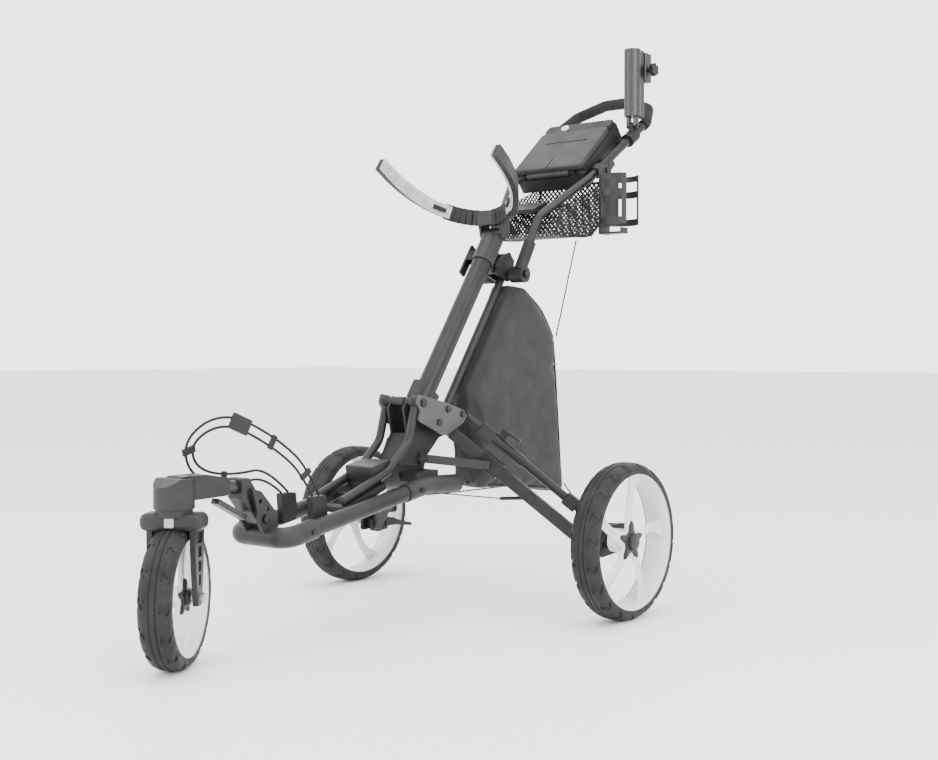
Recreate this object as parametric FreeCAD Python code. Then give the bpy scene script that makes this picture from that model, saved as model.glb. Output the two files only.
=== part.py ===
import FreeCAD, Part
import math
import os

# Folding three-wheel golf push cart with a swivelling front wheel.
# Millimetres. +Z is up, the cart rolls forward along -Y and +X is its left side.
# Every coordinate below is measured from the ground under the middle of the rear axle.
# The finished solids are then slid along Y, so that the origin is the middle of the footprint.

os.makedirs("parts", exist_ok=True)

# ---------------------------------------------------------------- driving sizes
RUN = 0.05              # radial clearance of a pin or shaft that turns
GAP = 0.4               # space kept between pieces that only pass each other
PIN_R = 4.0             # hinge pins of the folding links

REAR_R = 146.0          # rear tyre, 11.5 inch
REAR_WIDTH = 56.0
REAR_TRACK = 343.0      # centre plane to the middle of a rear wheel
REAR_SEAT = 128.0       # where the rear tyre sits on its rim
FRONT_R = 113.0         # front tyre, 9 inch
FRONT_WIDTH = 52.0
FRONT_SEAT = 98.0
FRONT_Y = -768.0        # swivel axis
FRONT_TRAIL = 6.0       # the front axle trails the swivel axis
STEER_DEG = 32.8        # the front wheel stands turned to the side
AXLE_R = 5.0
SPOKES = 5
BEND_SHARE = 0.45       # share of the shorter run that a cord's bend takes

LEAN = 34.8             # the post leans back from upright
POST_R = 19.5
COLLAR_WALL = 3.0
COLLAR_R = POST_R + COLLAR_WALL
REAR_TUBE_R = 8.5
LINK_LENGTH = 338.6     # post pivot to head pivot, the same on both links
POST_PIVOT = (-156.0, 388.0)
REAR_PIVOT = (-112.0, 377.0)
POST_OFFSET = 27.0      # post axis in front of its pivot
PLATE_X = 45.0          # inner face of a side plate
PLATE_T = 4.0

RAIL_X = 61.0
RAIL_R = 14.5
CROSS_Y = -587.0
CROSS_Z = 190.0
RAIL_SLOPE = 0.172      # the rails rise towards the rear
RAIL_REAR_Y = -290.0
SOCKET_END_Y = -146.0

NECK_PIVOT = (-600.0, 222.0)
HEAD_R = 32.0
HEAD_LOW = 253.0
HEAD_HIGH = 300.0
STEM_R = 11.0

LEG_PIVOT = (30.0, -129.0, 345.9)
LEG_END = (275.0, -5.0, 127.0)
LEG_OFFSET = (0.0, 42.0, 32.0)      # upper leg tube above and behind the lower bar
LEG_BAR_H = 24.0
LEG_BAR_W = 16.0
LEG_TUBE_R = 8.5
PADDLE_AT = 88.0        # pivot of the clamp paddle along the upper tube
PADDLE_RISE = 17.0
SLEEVE_AT = 104.0       # sleeve centre along the lower bar
SLEEVE_LENGTH = 46.0
STRUT_PIVOT = (33.0, -210.0, 297.0)

HANDLE_R = 9.0
GRIP_WALL = 3.5
GRIP_R = HANDLE_R + GRIP_WALL
HANDLE_X = 46.0
CONSOLE_SLOPE = 40.4
CONSOLE_HALF = 90.0
CONSOLE_LENGTH = 188.0
CONSOLE_DEPTH = 44.0
CONSOLE_WALL = 3.0
LID_LENGTH = 146.0
UMBRELLA_BORE = 14.5
UMBRELLA_LENGTH = 146.0
BOTTLE_R = 38.0
CRADLE_TIP = (147.0, -134.0, 872.0)
BAG_HALF = 34.0
NET_HALF = 86.0


# ---------------------------------------------------------------- shape helpers
def vec(x, y, z):
    return FreeCAD.Vector(x, y, z)


def side(y, z, x=0.0):
    """A point given by its side view."""
    return vec(x, y, z)


def along(start, direction, length):
    return start + FreeCAD.Vector(direction).normalize() * length


def cylinder(start, direction, radius, length):
    return Part.makeCylinder(radius, length, start, direction)


def rod(start, end, radius):
    return cylinder(start, end - start, radius, (end - start).Length)


def cross_pin(y, z, radius, half_length):
    return cylinder(vec(-half_length, y, z), vec(1, 0, 0), radius, 2 * half_length)


def box(low, high):
    return Part.makeBox(high[0] - low[0], high[1] - low[1], high[2] - low[2], vec(*low))


def profile_x(points, x_low, x_high):
    """A side-view outline of (y, z) points, thickened from x_low to x_high."""
    wire = Part.makePolygon([vec(x_low, y, z) for y, z in points + points[:1]])
    return Part.Face(wire).extrude(vec(x_high - x_low, 0, 0))


def soften(shape, radius, test=lambda edge: True):
    """Rounds the edges that the test picks; a round never passes the size given."""
    edges = [edge for edge in shape.Edges if test(edge)]
    return shape.makeFillet(radius, edges) if edges else shape


def along_x(edge):
    first, last = edge.Vertexes[0].Point, edge.Vertexes[-1].Point
    return len(edge.Vertexes) == 2 and abs(last.x - first.x) > 0.99 * (last - first).Length > 0


def rounded_path(points, bends):
    """Straight runs joined by tangent arcs, as one wire; bends holds each corner's radius."""
    edges = []
    start = points[0]
    for before, corner, after, radius in zip(points, points[1:], points[2:], bends):
        back = (before - corner).normalize()
        ahead = (after - corner).normalize()
        half = back.getAngle(ahead) / 2
        cut = radius / math.tan(half)
        enter = corner + back * cut
        leave = corner + ahead * cut
        middle = (back + ahead).normalize()
        top = corner + middle * (radius / math.sin(half) - radius)
        edges.append(Part.LineSegment(start, enter).toShape())
        edges.append(Part.Arc(enter, top, leave).toShape())
        start = leave
    edges.append(Part.LineSegment(start, points[-1]).toShape())
    return Part.Wire(edges)


def cord_bends(points):
    """The largest bends that a cord's runs leave room for."""
    bends = []
    for before, corner, after in zip(points, points[1:], points[2:]):
        shorter = min((before - corner).Length, (after - corner).Length)
        half = (before - corner).getAngle(after - corner) / 2
        bends.append(BEND_SHARE * shorter * math.tan(half))
    return bends


def tube(points, radius, bend, bore=0.0):
    """A round bar or tube along a rounded path. A bend of None gives a cord's bends."""
    bends = cord_bends(points) if bend is None else [bend] * (len(points) - 2)
    path = rounded_path(points, bends)
    heading = (points[1] - points[0]).normalize()

    def sweep(size):
        ring = Part.Wire([Part.makeCircle(size, points[0], heading)])
        return path.makePipeShell([ring], True, False)

    solid = sweep(radius)
    if bore:
        solid = solid.cut(sweep(bore))
    return solid


def bar(start, end, width_direction, width, height, overrun=0.0):
    """A rectangular bar; its width lies along width_direction."""
    ahead = (end - start).normalize()
    across = FreeCAD.Vector(width_direction).normalize()
    up = ahead.cross(across).normalize()
    first = start - ahead * overrun
    corners = []
    for a, b in ((-1, -1), (1, -1), (1, 1), (-1, 1)):
        corners.append(first + across * (a * width / 2) + up * (b * height / 2))
    face = Part.Face(Part.makePolygon(corners + corners[:1]))
    return face.extrude(ahead * ((end - start).Length + 2 * overrun))


def mirrored(shape):
    return shape.mirror(vec(0, 0, 0), vec(1, 0, 0))


def joined(*shapes):
    first, *others = shapes
    return first.fuse(others).removeSplitter() if others else first


def apart(*shapes):
    """Several separate solids in one node."""
    return Part.makeCompound(list(shapes))


def solid_of(shape):
    return shape.Solids[0] if len(shape.Solids) == 1 else Part.makeCompound(shape.Solids)


# ---------------------------------------------------------------- shared directions
POST_DIR = vec(0, math.sin(math.radians(LEAN)), math.cos(math.radians(LEAN)))
POST_BACK = vec(0, POST_DIR.z, -POST_DIR.y)          # square to the post, to the rear
CONSOLE_UP = vec(0, math.cos(math.radians(CONSOLE_SLOPE)), math.sin(math.radians(CONSOLE_SLOPE)))
CONSOLE_OUT = vec(0, -CONSOLE_UP.z, CONSOLE_UP.y)    # out of the lid
LEG_START = vec(*LEG_PIVOT)
LEG_STOP = vec(*LEG_END)
LEG_SHIFT = vec(*LEG_OFFSET)
LEG_DIR = (LEG_STOP - LEG_START).normalize()
LEG_AXIS = vec(-LEG_DIR.y, LEG_DIR.x, 0).normalize()  # positive turn folds the leg down and in
LEG_RISE = LEG_DIR.cross(LEG_AXIS)                    # square to the leg, upwards
HEAD_PIVOT = side(*POST_PIVOT) + POST_DIR * LINK_LENGTH
HANDLE_PIVOT = side(*REAR_PIVOT) + POST_DIR * LINK_LENGTH
POST_FOOT = side(*POST_PIVOT) - POST_BACK * POST_OFFSET
CRADLE_PIVOT = POST_FOOT + POST_DIR * (LINK_LENGTH + 68.0)
STEER = vec(math.cos(math.radians(STEER_DEG)), math.sin(math.radians(STEER_DEG)), 0)
AXLE_TRAIL = vec(-STEER.y, STEER.x, 0) * FRONT_TRAIL
FRONT_HUB = vec(0, FRONT_Y, FRONT_R) + AXLE_TRAIL
REAR_HUB = vec(REAR_TRACK, 0, REAR_R)
LIP = side(238.0, 880.0)                             # lower front edge of the console lid
UMBRELLA_PIVOT = vec(116.0, 398.0, 992.0)
CAGE_PIVOT = vec(121.0, 276.0, 880.0)

parts = {}


# ---------------------------------------------------------------- wheels
def wheel_pieces(outer, seat, width, hub, axis, spoke_count):
    """Tyre and spoked rim, turned about axis; the axis points outwards."""
    flange = seat + 3.0
    inner = seat - 5.0
    half = width / 2
    bead = half - 5.0
    hub_r = outer * 0.15
    hub_half = half - 2.0

    def turned(points):
        wire = Part.makePolygon([vec(x, r, 0) for x, r in points + points[:1]])
        return Part.Face(wire).revolve(vec(0, 0, 0), vec(1, 0, 0), 360)

    shoulder = outer - 7.0
    tyre = turned([
        (-bead, seat), (bead, seat), (bead, flange), (half - 1.5, flange + 2.0), (half, shoulder),
        (half * 0.62, outer - 1.2), (3.0, outer), (2.0, outer - 2.5), (-2.0, outer - 2.5),
        (-3.0, outer), (-half * 0.62, outer - 1.2), (-half, shoulder), (1.5 - half, flange + 2.0),
        (-bead, flange),
    ])
    barrel = turned([
        (-bead, inner), (bead - 8.0, inner - 3.0), (bead, inner), (bead + 3.0, flange - 1.0), (bead, flange),
        (bead, seat), (-bead, seat), (-bead, flange), (-bead - 3.0, flange - 1.0),
    ])
    centre = Part.makeCylinder(hub_r, 2 * hub_half, vec(-hub_half, 0, 0), vec(1, 0, 0))
    spokes = []
    for number in range(spoke_count):
        root = hub_r - 3.0
        rise = half * 0.42
        outline = [(0.0, root), (0.0, inner + 0.5), (-7.0, inner + 0.5), (-10.0, root)]
        wire = Part.makePolygon([vec(rise + x, -7.0, r) for x, r in outline + outline[:1]])
        spoke = Part.Face(wire).extrude(vec(0, 14.0, 0))
        spoke = soften(spoke, 2.5, lambda e: e.Length > inner - root - 5.0)
        spoke.rotate(vec(0, 0, 0), vec(1, 0, 0), 360.0 * number / spoke_count)
        spokes.append(spoke)
    rim = joined(barrel, centre, *spokes)
    rim = rim.cut(Part.makeCylinder(AXLE_R + RUN, 4 * half, vec(-2 * half, 0, 0), vec(1, 0, 0)))
    turn = FreeCAD.Rotation(vec(1, 0, 0), axis)
    place = FreeCAD.Placement(hub, turn)
    for piece in (tyre, rim):
        piece.Placement = place
    return tyre, rim


left_tyre, left_rim = wheel_pieces(
    REAR_R, REAR_SEAT, REAR_WIDTH, REAR_HUB, vec(1, 0, 0), SPOKES)
parts["rear_tyre_left"] = left_tyre
parts["rear_rim_left"] = left_rim
parts["rear_tyre_right"] = mirrored(left_tyre)
parts["rear_rim_right"] = mirrored(left_rim)

front_tyre, front_rim = wheel_pieces(
    FRONT_R, FRONT_SEAT, FRONT_WIDTH, FRONT_HUB, STEER, SPOKES)
parts["front_tyre"] = front_tyre
parts["front_rim"] = front_rim


# ---------------------------------------------------------------- front fork
def front_fork():
    """A moulded crown over the tyre with a leg down each side to the axle."""
    leg_x = FRONT_WIDTH / 2 + 4.0
    leg_t = 9.0
    crown_low = FRONT_R + 5.0
    crown_high = HEAD_LOW - FRONT_R - 8.0
    shape = box((-leg_x - leg_t, -26.0, crown_low), (leg_x + leg_t, 26.0, crown_high))
    shape = soften(shape, 7.0, lambda e: e.CenterOfMass.z > crown_high - 0.1)
    for sign in (-1, 1):
        inner = sign * leg_x
        outer = sign * (leg_x + leg_t)
        low, high = sorted((inner, outer))
        outline = [(-24.0, crown_low + 6.0), (24.0, crown_low + 6.0), (22.0, 70.0), (13.0, 4.0),
                   (9.0, -12.0), (-9.0, -12.0), (-13.0, 4.0), (-22.0, 70.0)]
        leg = profile_x(outline, low, high)
        for step in range(4):
            pocket_z = 20.0 + 22.0 * step
            reach = 5.0 + 2.2 * step
            face_x = outer - 3.5 if sign > 0 else outer - 0.5
            leg = leg.cut(box((face_x, -reach, pocket_z), (face_x + 4.0, reach, pocket_z + 16.0)))
        shape = shape.fuse(leg)
    shape = shape.cut(cylinder(vec(-60, 0, 0), vec(1, 0, 0), AXLE_R, 120.0))
    shape = shape.removeSplitter()
    shape.Placement = FreeCAD.Placement(FRONT_HUB, FreeCAD.Rotation(vec(1, 0, 0), STEER))
    stem_base = FRONT_R + crown_high - 4.0
    collar_ring = cylinder(vec(0, FRONT_Y, stem_base), vec(0, 0, 1), HEAD_R - 3.0, HEAD_LOW - GAP - stem_base)
    stem = cylinder(vec(0, FRONT_Y, stem_base), vec(0, 0, 1), STEM_R, HEAD_HIGH - stem_base - 12.0)
    return joined(shape, collar_ring, stem)


parts["front_fork"] = front_fork()
axle_half = FRONT_WIDTH / 2 + 17.0
front_axle = cylinder(FRONT_HUB - STEER * axle_half, STEER, AXLE_R, 2 * axle_half)
for sign in (-1, 1):
    head_start = FRONT_HUB + STEER * (sign * axle_half)
    front_axle = front_axle.fuse(cylinder(head_start, STEER * sign, 8.0, 4.0))
parts["front_axle"] = front_axle.removeSplitter()

# ---------------------------------------------------------------- steering head and neck
head = cylinder(vec(0, FRONT_Y, HEAD_LOW), vec(0, 0, 1), HEAD_R, HEAD_HIGH - HEAD_LOW)
cap_slope = profile_x([(FRONT_Y - HEAD_R - 4, HEAD_HIGH + 12), (FRONT_Y - HEAD_R - 4, HEAD_HIGH - 16),
                       (FRONT_Y - 6, HEAD_HIGH + 3), (FRONT_Y + 60, HEAD_HIGH + 3),
                       (FRONT_Y + 60, HEAD_HIGH + 12)], -50, 50)
sleeve = profile_x([(FRONT_Y, 264.0), (FRONT_Y + 92, 266.0), (FRONT_Y + 98, 272.0), (FRONT_Y + 98, 294.0),
                    (FRONT_Y + 50, 303.0), (FRONT_Y, 303.0)], -19, 19)
sleeve = soften(sleeve, 5.0, along_x)
head = joined(head.cut(cap_slope), sleeve.cut(cap_slope))
stem_space = cylinder(vec(0, FRONT_Y, HEAD_LOW - 1), vec(0, 0, 1), STEM_R + RUN, HEAD_HIGH - HEAD_LOW - 10.5)
neck_tube_axis = [side(FRONT_Y + 88, 279.0), side(FRONT_Y + 136, 275.0)]
neck_tube = rod(neck_tube_axis[0], neck_tube_axis[1], 11.5)
parts["steering_head"] = head.cut(stem_space).cut(neck_tube)

PIVOT_N = side(*NECK_PIVOT)
knee = profile_x([(FRONT_Y + 124, 291.0), (FRONT_Y + 140, 291.0), (NECK_PIVOT[0] + 12, NECK_PIVOT[1] + 10),
                  (NECK_PIVOT[0] + 10, NECK_PIVOT[1] - 7), (NECK_PIVOT[0] - 6, NECK_PIVOT[1] - 10),
                  (FRONT_Y + 124, 258.0)], -17, 17)
knee = soften(knee, 4.0, along_x)
for sign in (-1, 1):
    low, high = sorted((sign * 13.0, sign * 18.0))
    window = [(FRONT_Y + 136, 270.0), (NECK_PIVOT[0] - 14, NECK_PIVOT[1] + 22),
              (NECK_PIVOT[0] - 20, NECK_PIVOT[1] + 10), (FRONT_Y + 136, 258.0)]
    knee = knee.cut(profile_x(window, low, high))
knee = knee.cut(cross_pin(NECK_PIVOT[0], NECK_PIVOT[1], PIN_R + RUN, 30)).cut(neck_tube)
parts["neck_knee"] = knee

drag_top = side(FRONT_Y + 82, 257.0)
drag_link = bar(drag_top, side(NECK_PIVOT[0] - 27, NECK_PIVOT[1] + 3), vec(1, 0, 0), 18.0, 9.0)
parts["neck_links"] = apart(neck_tube, solid_of(drag_link.cut(knee).cut(parts["steering_head"])))


# ---------------------------------------------------------------- lower frame
def rail_z(y):
    return CROSS_Z + RAIL_SLOPE * (y - CROSS_Y)


def rail_point(y, x=RAIL_X):
    return vec(x, y, rail_z(y))


elbow_end_y = CROSS_Y + 62.0
cross_path = [rail_point(elbow_end_y), rail_point(CROSS_Y, RAIL_X), rail_point(CROSS_Y, -RAIL_X),
              rail_point(elbow_end_y, -RAIL_X)]
crosspiece = tube(cross_path, RAIL_R + 3.0, 24.0)
rail_core = rod(rail_point(CROSS_Y + 26), rail_point(RAIL_REAR_Y + 34), RAIL_R)
crosspiece = crosspiece.cut(rail_core).cut(mirrored(rail_core))
ears = []
for sign in (-1, 1):
    low, high = sorted((sign * 18.0, sign * 25.0))
    ears.append(profile_x([(CROSS_Y - 42, CROSS_Z + 84), (CROSS_Y - 22, CROSS_Z + 78),
                           (CROSS_Y + 14, CROSS_Z + 38), (CROSS_Y + 15, CROSS_Z + 2),
                           (CROSS_Y - 14, CROSS_Z + 4), (CROSS_Y - 26, CROSS_Z + 24),
                           (CROSS_Y - 34, CROSS_Z + 56)], low, high))
crosspiece = joined(crosspiece, *ears).cut(rail_core)
crosspiece = crosspiece.cut(mirrored(rail_core))
slot = joined(cross_pin(CROSS_Y - 24, CROSS_Z + 62, 3.5, 40), cross_pin(CROSS_Y - 8, CROSS_Z + 48, 3.5, 40))
crosspiece = crosspiece.cut(slot).cut(cross_pin(NECK_PIVOT[0], NECK_PIVOT[1], PIN_R, 40))
parts["front_crosspiece"] = solid_of(crosspiece)
neck_pin = joined(cross_pin(NECK_PIVOT[0], NECK_PIVOT[1], PIN_R, 27),
                  cylinder(vec(25, NECK_PIVOT[0], NECK_PIVOT[1]), vec(1, 0, 0), 7.0, 5.0),
                  cylinder(vec(-25, NECK_PIVOT[0], NECK_PIVOT[1]), vec(-1, 0, 0), 7.0, 5.0))

parts["frame_rails"] = apart(rail_core, mirrored(rail_core))
socket_path = [rail_point(RAIL_REAR_Y - 4), rail_point(RAIL_REAR_Y + 58),
               vec(RAIL_X, SOCKET_END_Y, rail_z(RAIL_REAR_Y + 58) - 3.0)]
rail_socket = tube(socket_path, RAIL_R + 2.5, 60.0).cut(rail_core)
parts["rail_sockets"] = apart(solid_of(rail_socket), mirrored(solid_of(rail_socket)))

# ---------------------------------------------------------------- arch that the bag leans on
ARCH_X = 36.0
ARCH_TOP = (-238.0, 404.0)
arch_points = [vec(ARCH_X, ARCH_TOP[0], ARCH_TOP[1] - 9), vec(ARCH_X, -256.0, 330.0),
               vec(ARCH_X, -312.0, 280.0), vec(ARCH_X, -430.0, 236.0)]
arch_tube = tube(arch_points, 8.0, 45.0)
parts["arch_tubes"] = apart(arch_tube, mirrored(arch_tube))
arch_bar = cross_pin(ARCH_TOP[0], ARCH_TOP[1], 7.0, ARCH_X)
for sign in (-1, 1):
    arch_bar = arch_bar.fuse(Part.makeSphere(12.0, vec(sign * ARCH_X, ARCH_TOP[0], ARCH_TOP[1])))
arch_bar = arch_bar.fuse(cross_pin(ARCH_TOP[0], ARCH_TOP[1], 9.0, 14.0))
both_arches = arch_tube.fuse(mirrored(arch_tube))
parts["arch_crossbar"] = arch_bar.cut(both_arches).removeSplitter()
saddle = profile_x([(-352, 290), (-300, 300), (-290, 290), (-292, 268), (-346, 262)], -ARCH_X + 3, ARCH_X - 3)
saddle = soften(saddle, 3.0, along_x)
foot = profile_x([(-436, 226), (-402, 238), (-330, 262), (-330, 250), (-402, 222), (-436, 216)],
                 -RAIL_X + RAIL_R - 1, RAIL_X - RAIL_R + 1)
rib_cuts = []
for sign in (-1, 1):
    low, high = sorted((sign * 2.0, sign * 24.0))
    rib_cuts.append(box((low, -424.0, 200.0), (high, -384.0, 300.0)))
    rib_cuts.append(box((low, -378.0, 200.0), (high, -340.0, 300.0)))
for cut in rib_cuts:
    foot = foot.cut(cut)
saddle = joined(saddle, profile_x([(-346, 262), (-330, 264), (-330, 250), (-346, 250)], -33, 33), foot)
rails_fat = rod(rail_point(-520), rail_point(-250), RAIL_R + 0.02)
saddle = saddle.cut(both_arches).cut(rails_fat).cut(mirrored(rails_fat))
parts["arch_saddle"] = solid_of(saddle)

# ---------------------------------------------------------------- hub of the frame: plates and bracket
PLATE_OUTLINE = [(-240, 418), (-163, 401), (-106, 384), (-98, 374), (-110, 360), (-158, 339), (-174, 341),
                 (-242, 369), (-236, 387), (-246, 402)]
ARCH_BOLT = (-228.0, 402.0)
LOWER_BOLT = (-182.0, 364.0)


def side_plate():
    plate = profile_x(PLATE_OUTLINE, PLATE_X, PLATE_X + PLATE_T)
    plate = soften(plate, 5.0, along_x)
    for y, z in (POST_PIVOT, REAR_PIVOT, LOWER_BOLT, ARCH_BOLT):
        plate = plate.cut(cross_pin(y, z, PIN_R, 80))
    return plate


left_plate = solid_of(side_plate().cut(parts["arch_crossbar"]))
parts["side_plates"] = apart(left_plate, mirrored(left_plate))

WALL_IN = 21.5          # inner face of a bracket wall
WALL_T = 5.0
bracket_outline = [(-236, 414), (-200, 372), (-140, 366), (-96, 366), (-96, 345), (-150, 333), (-186, 300),
                   (-200, 262), (-262, 258), (-276, 292), (-242, 345), (-252, 392)]
walls = []
for sign in (-1, 1):
    low, high = sorted((sign * WALL_IN, sign * (WALL_IN - WALL_T)))
    walls.append(profile_x(bracket_outline, low, high))
web = profile_x([(-240, 345), (-196, 345), (-196, 333), (-226, 320), (-262, 292), (-262, 268), (-200, 268),
                 (-200, 262), (-262, 258), (-276, 292)], 5.0 - WALL_IN, WALL_IN - 5.0)
bracket = joined(*walls, web)
foot_beam = profile_x([(-262, 274), (-200, 277), (-200, 262), (-262, 258)], -RAIL_X, RAIL_X)
bracket = joined(bracket, foot_beam)
ear = profile_x([(-246, 336), (-216, 312), (-200, 300), (-204, 286), (-220, 283), (-270, 288)],
                WALL_IN - 1.0, WALL_IN + 4.0)
bracket = joined(bracket, ear, mirrored(ear))
sockets = rail_socket.fuse(rail_core)
bracket = bracket.cut(sockets).cut(mirrored(sockets))
for y, z in (LOWER_BOLT, ARCH_BOLT):
    bracket = bracket.cut(cross_pin(y, z, PIN_R, 80))
bracket = bracket.cut(cross_pin(STRUT_PIVOT[1], STRUT_PIVOT[2], PIN_R, 80))
parts["frame_bracket"] = solid_of(bracket.cut(both_arches).cut(parts["arch_crossbar"]))


def bolt(y, z, half, head_r=6.5):
    shank = cross_pin(y, z, PIN_R, half)
    heads = [cylinder(vec(sign * half, y, z), vec(sign, 0, 0), head_r, 3.0) for sign in (-1, 1)]
    return joined(shank, *heads)


plate_outer = PLATE_X + PLATE_T
bolts = [bolt(y, z, plate_outer) for y, z in (POST_PIVOT, REAR_PIVOT, LOWER_BOLT)]
arch_bolt = bolt(ARCH_BOLT[0], ARCH_BOLT[1], plate_outer, 8.0)
arch_bolt = arch_bolt.cut(parts["arch_crossbar"]).cut(both_arches)
rail_bolts = []
for y in (CROSS_Y + 46, RAIL_REAR_Y + 24, SOCKET_END_Y + 34, SOCKET_END_Y + 14):
    height = rail_z(y) if y < RAIL_REAR_Y + 58 else rail_z(RAIL_REAR_Y + 58) - 2.0
    outer = RAIL_R + 3.0 if y < RAIL_REAR_Y - 100 else RAIL_R + 2.5
    for sign in (-1, 1):
        rail_bolts.append(cylinder(vec(sign * (RAIL_X + outer), y, height), vec(sign, 0, 0), 5.0, 3.0))

# ---------------------------------------------------------------- post, rear link and head bracket
post_top = CRADLE_PIVOT - POST_DIR * 12.0
seam = POST_FOOT + POST_DIR * (LINK_LENGTH - 6.0)
post = rod(POST_FOOT - POST_DIR * 8.0, post_top - POST_DIR * 26.0, POST_R)
boss = bar(POST_FOOT - POST_DIR * 8.0, POST_FOOT + POST_DIR * 30.0, vec(1, 0, 0), 24.0, 58.0)
boss = boss.common(profile_x([(-240, 360), (-130, 360), (-130, 460), (-240, 460)], -12, 12))
boss_front = rod(POST_FOOT - POST_DIR * 9.0, POST_FOOT + POST_DIR * 40.0, POST_R)
pivot_barrel = cross_pin(POST_PIVOT[0], POST_PIVOT[1], 11.0, WALL_IN - WALL_T - GAP)
post = joined(post, pivot_barrel, boss.cut(boss_front))
post = post.cut(cross_pin(POST_PIVOT[0], POST_PIVOT[1], PIN_R + RUN, 80))
parts["main_post"] = solid_of(post)

collar = rod(seam, post_top, COLLAR_R)
lug = bar(HEAD_PIVOT - POST_BACK * 20.0, HEAD_PIVOT + POST_BACK * 2.0, vec(1, 0, 0), 22.0, 22.0)
lug = lug.fuse(cross_pin(HEAD_PIVOT.y, HEAD_PIVOT.z, 11.0, 11.0))
collar = joined(collar, lug)
cradle_barrel = cross_pin(CRADLE_PIVOT.y, CRADLE_PIVOT.z, 13.0, 22.0)
collar = joined(collar, cradle_barrel)
collar = collar.cut(rod(POST_FOOT, post_top - POST_DIR * 26.0, POST_R))
for sign in (-1, 1):
    low, high = sorted((sign * 11.0, sign * 40.0))
    collar = collar.cut(cylinder(vec(low, HEAD_PIVOT.y, HEAD_PIVOT.z), vec(1, 0, 0), 12.0, high - low))
collar = collar.cut(cross_pin(HEAD_PIVOT.y, HEAD_PIVOT.z, PIN_R + RUN, 80))
collar = collar.cut(cross_pin(CRADLE_PIVOT.y, CRADLE_PIVOT.z, PIN_R + RUN, 80))
parts["post_collar"] = solid_of(collar)

LEVER_OUT = 9.0         # lever pivot outside the collar
LEVER_LENGTH = 70.0
lever_at = seam + POST_DIR * 20.0
LEVER_PIVOT = lever_at - vec(COLLAR_R + LEVER_OUT, 0, 0)
lever_mount = bar(lever_at - vec(COLLAR_R - 3.0, 0, 0), LEVER_PIVOT, POST_BACK, 9.0, 14.0, 2.0)
lever_mount = lever_mount.cut(rod(seam, post_top, COLLAR_R - 1.0))
lever_hole = cylinder(LEVER_PIVOT - POST_BACK * 30.0, POST_BACK, 3.0 + RUN, 60.0)
parts["post_collar"] = solid_of(joined(parts["post_collar"], lever_mount).cut(lever_hole))
paddle_out = LEVER_PIVOT - vec(9.0, 0, 0)
paddle_top = POST_DIR * 22.0
paddle_foot = paddle_top - POST_DIR * LEVER_LENGTH
lever = soften(bar(paddle_out + paddle_top, paddle_out + paddle_foot, POST_BACK, 17.0, 6.0), 1.5)
for sign in (-1, 1):
    cheek = bar(LEVER_PIVOT + POST_DIR * 6.0, LEVER_PIVOT - POST_DIR * 16.0, POST_BACK, 3.0, 15.0)
    cheek.translate(POST_BACK * (sign * 7.0))
    lever = joined(lever, cheek)
lever_pin = cylinder(LEVER_PIVOT - POST_BACK * 8.5, POST_BACK, 3.0, 17.0)
parts["post_lever"] = solid_of(joined(lever, lever_pin))

rear_low = side(*REAR_PIVOT)
rear_tube = rod(rear_low, HANDLE_PIVOT, REAR_TUBE_R)
rear_ends = [cross_pin(point.y, point.z, 10.5, 10.0) for point in (rear_low, HANDLE_PIVOT)]
rear_tube = joined(rear_tube, *rear_ends)
for point, radius in ((rear_low, PIN_R + RUN), (HANDLE_PIVOT, AXLE_R + RUN)):
    rear_tube = rear_tube.cut(cross_pin(point.y, point.z, radius, 80))
parts["rear_tube"] = solid_of(rear_tube)

CHEEK_IN = 11.0 + GAP
CHEEK_T = 6.0
cheeks = []
for sign in (-1, 1):
    low, high = sorted((sign * CHEEK_IN, sign * (CHEEK_IN + CHEEK_T)))
    outline = [(HEAD_PIVOT.y - 5, HEAD_PIVOT.z - 8), (HANDLE_PIVOT.y - 4, HANDLE_PIVOT.z - 14),
               (HANDLE_PIVOT.y + 14, HANDLE_PIVOT.z - 8), (HANDLE_PIVOT.y + 16, HANDLE_PIVOT.z + 30),
               (HANDLE_PIVOT.y + 2, HANDLE_PIVOT.z + 46), (HEAD_PIVOT.y + 20, HEAD_PIVOT.z + 24),
               (HEAD_PIVOT.y - 2, HEAD_PIVOT.z + 8)]
    cheeks.append(profile_x(outline, low, high))
bridge = profile_x([(HANDLE_PIVOT.y - 2, HANDLE_PIVOT.z + 16), (HANDLE_PIVOT.y + 16, HANDLE_PIVOT.z + 16),
                    (HANDLE_PIVOT.y + 16, HANDLE_PIVOT.z + 30), (HANDLE_PIVOT.y + 2, HANDLE_PIVOT.z + 44)],
                   -CHEEK_IN, CHEEK_IN)
head_pin = cross_pin(HEAD_PIVOT.y, HEAD_PIVOT.z, PIN_R, CHEEK_IN + CHEEK_T)
handle_pin = cross_pin(HANDLE_PIVOT.y, HANDLE_PIVOT.z, AXLE_R, 60.0)
bracket_body = joined(*cheeks, bridge)
bracket_body = bracket_body.cut(joined(head_pin)).cut(handle_pin)
parts["head_bracket"] = solid_of(bracket_body)
pin_heads = [cylinder(vec(sign * 60, HANDLE_PIVOT.y, HANDLE_PIVOT.z), vec(sign, 0, 0), 8.0, 4.0)
             for sign in (-1, 1)]
parts["head_pins"] = apart(head_pin, joined(handle_pin, *pin_heads))


# ---------------------------------------------------------------- cradle for the golf bag
def ruled_band(centres, ups, outs, height, thickness):
    """A band through rectangular sections, one at each centre."""
    sections = []
    for centre, up, out in zip(centres, ups, outs):
        corners = []
        for a, b in ((-1, -1), (1, -1), (1, 1), (-1, 1)):
            corners.append(centre + out * (a * thickness / 2) + up * (b * height / 2))
        sections.append(Part.makePolygon(corners + corners[:1]))
    return Part.makeLoft(sections, True, True)


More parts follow.
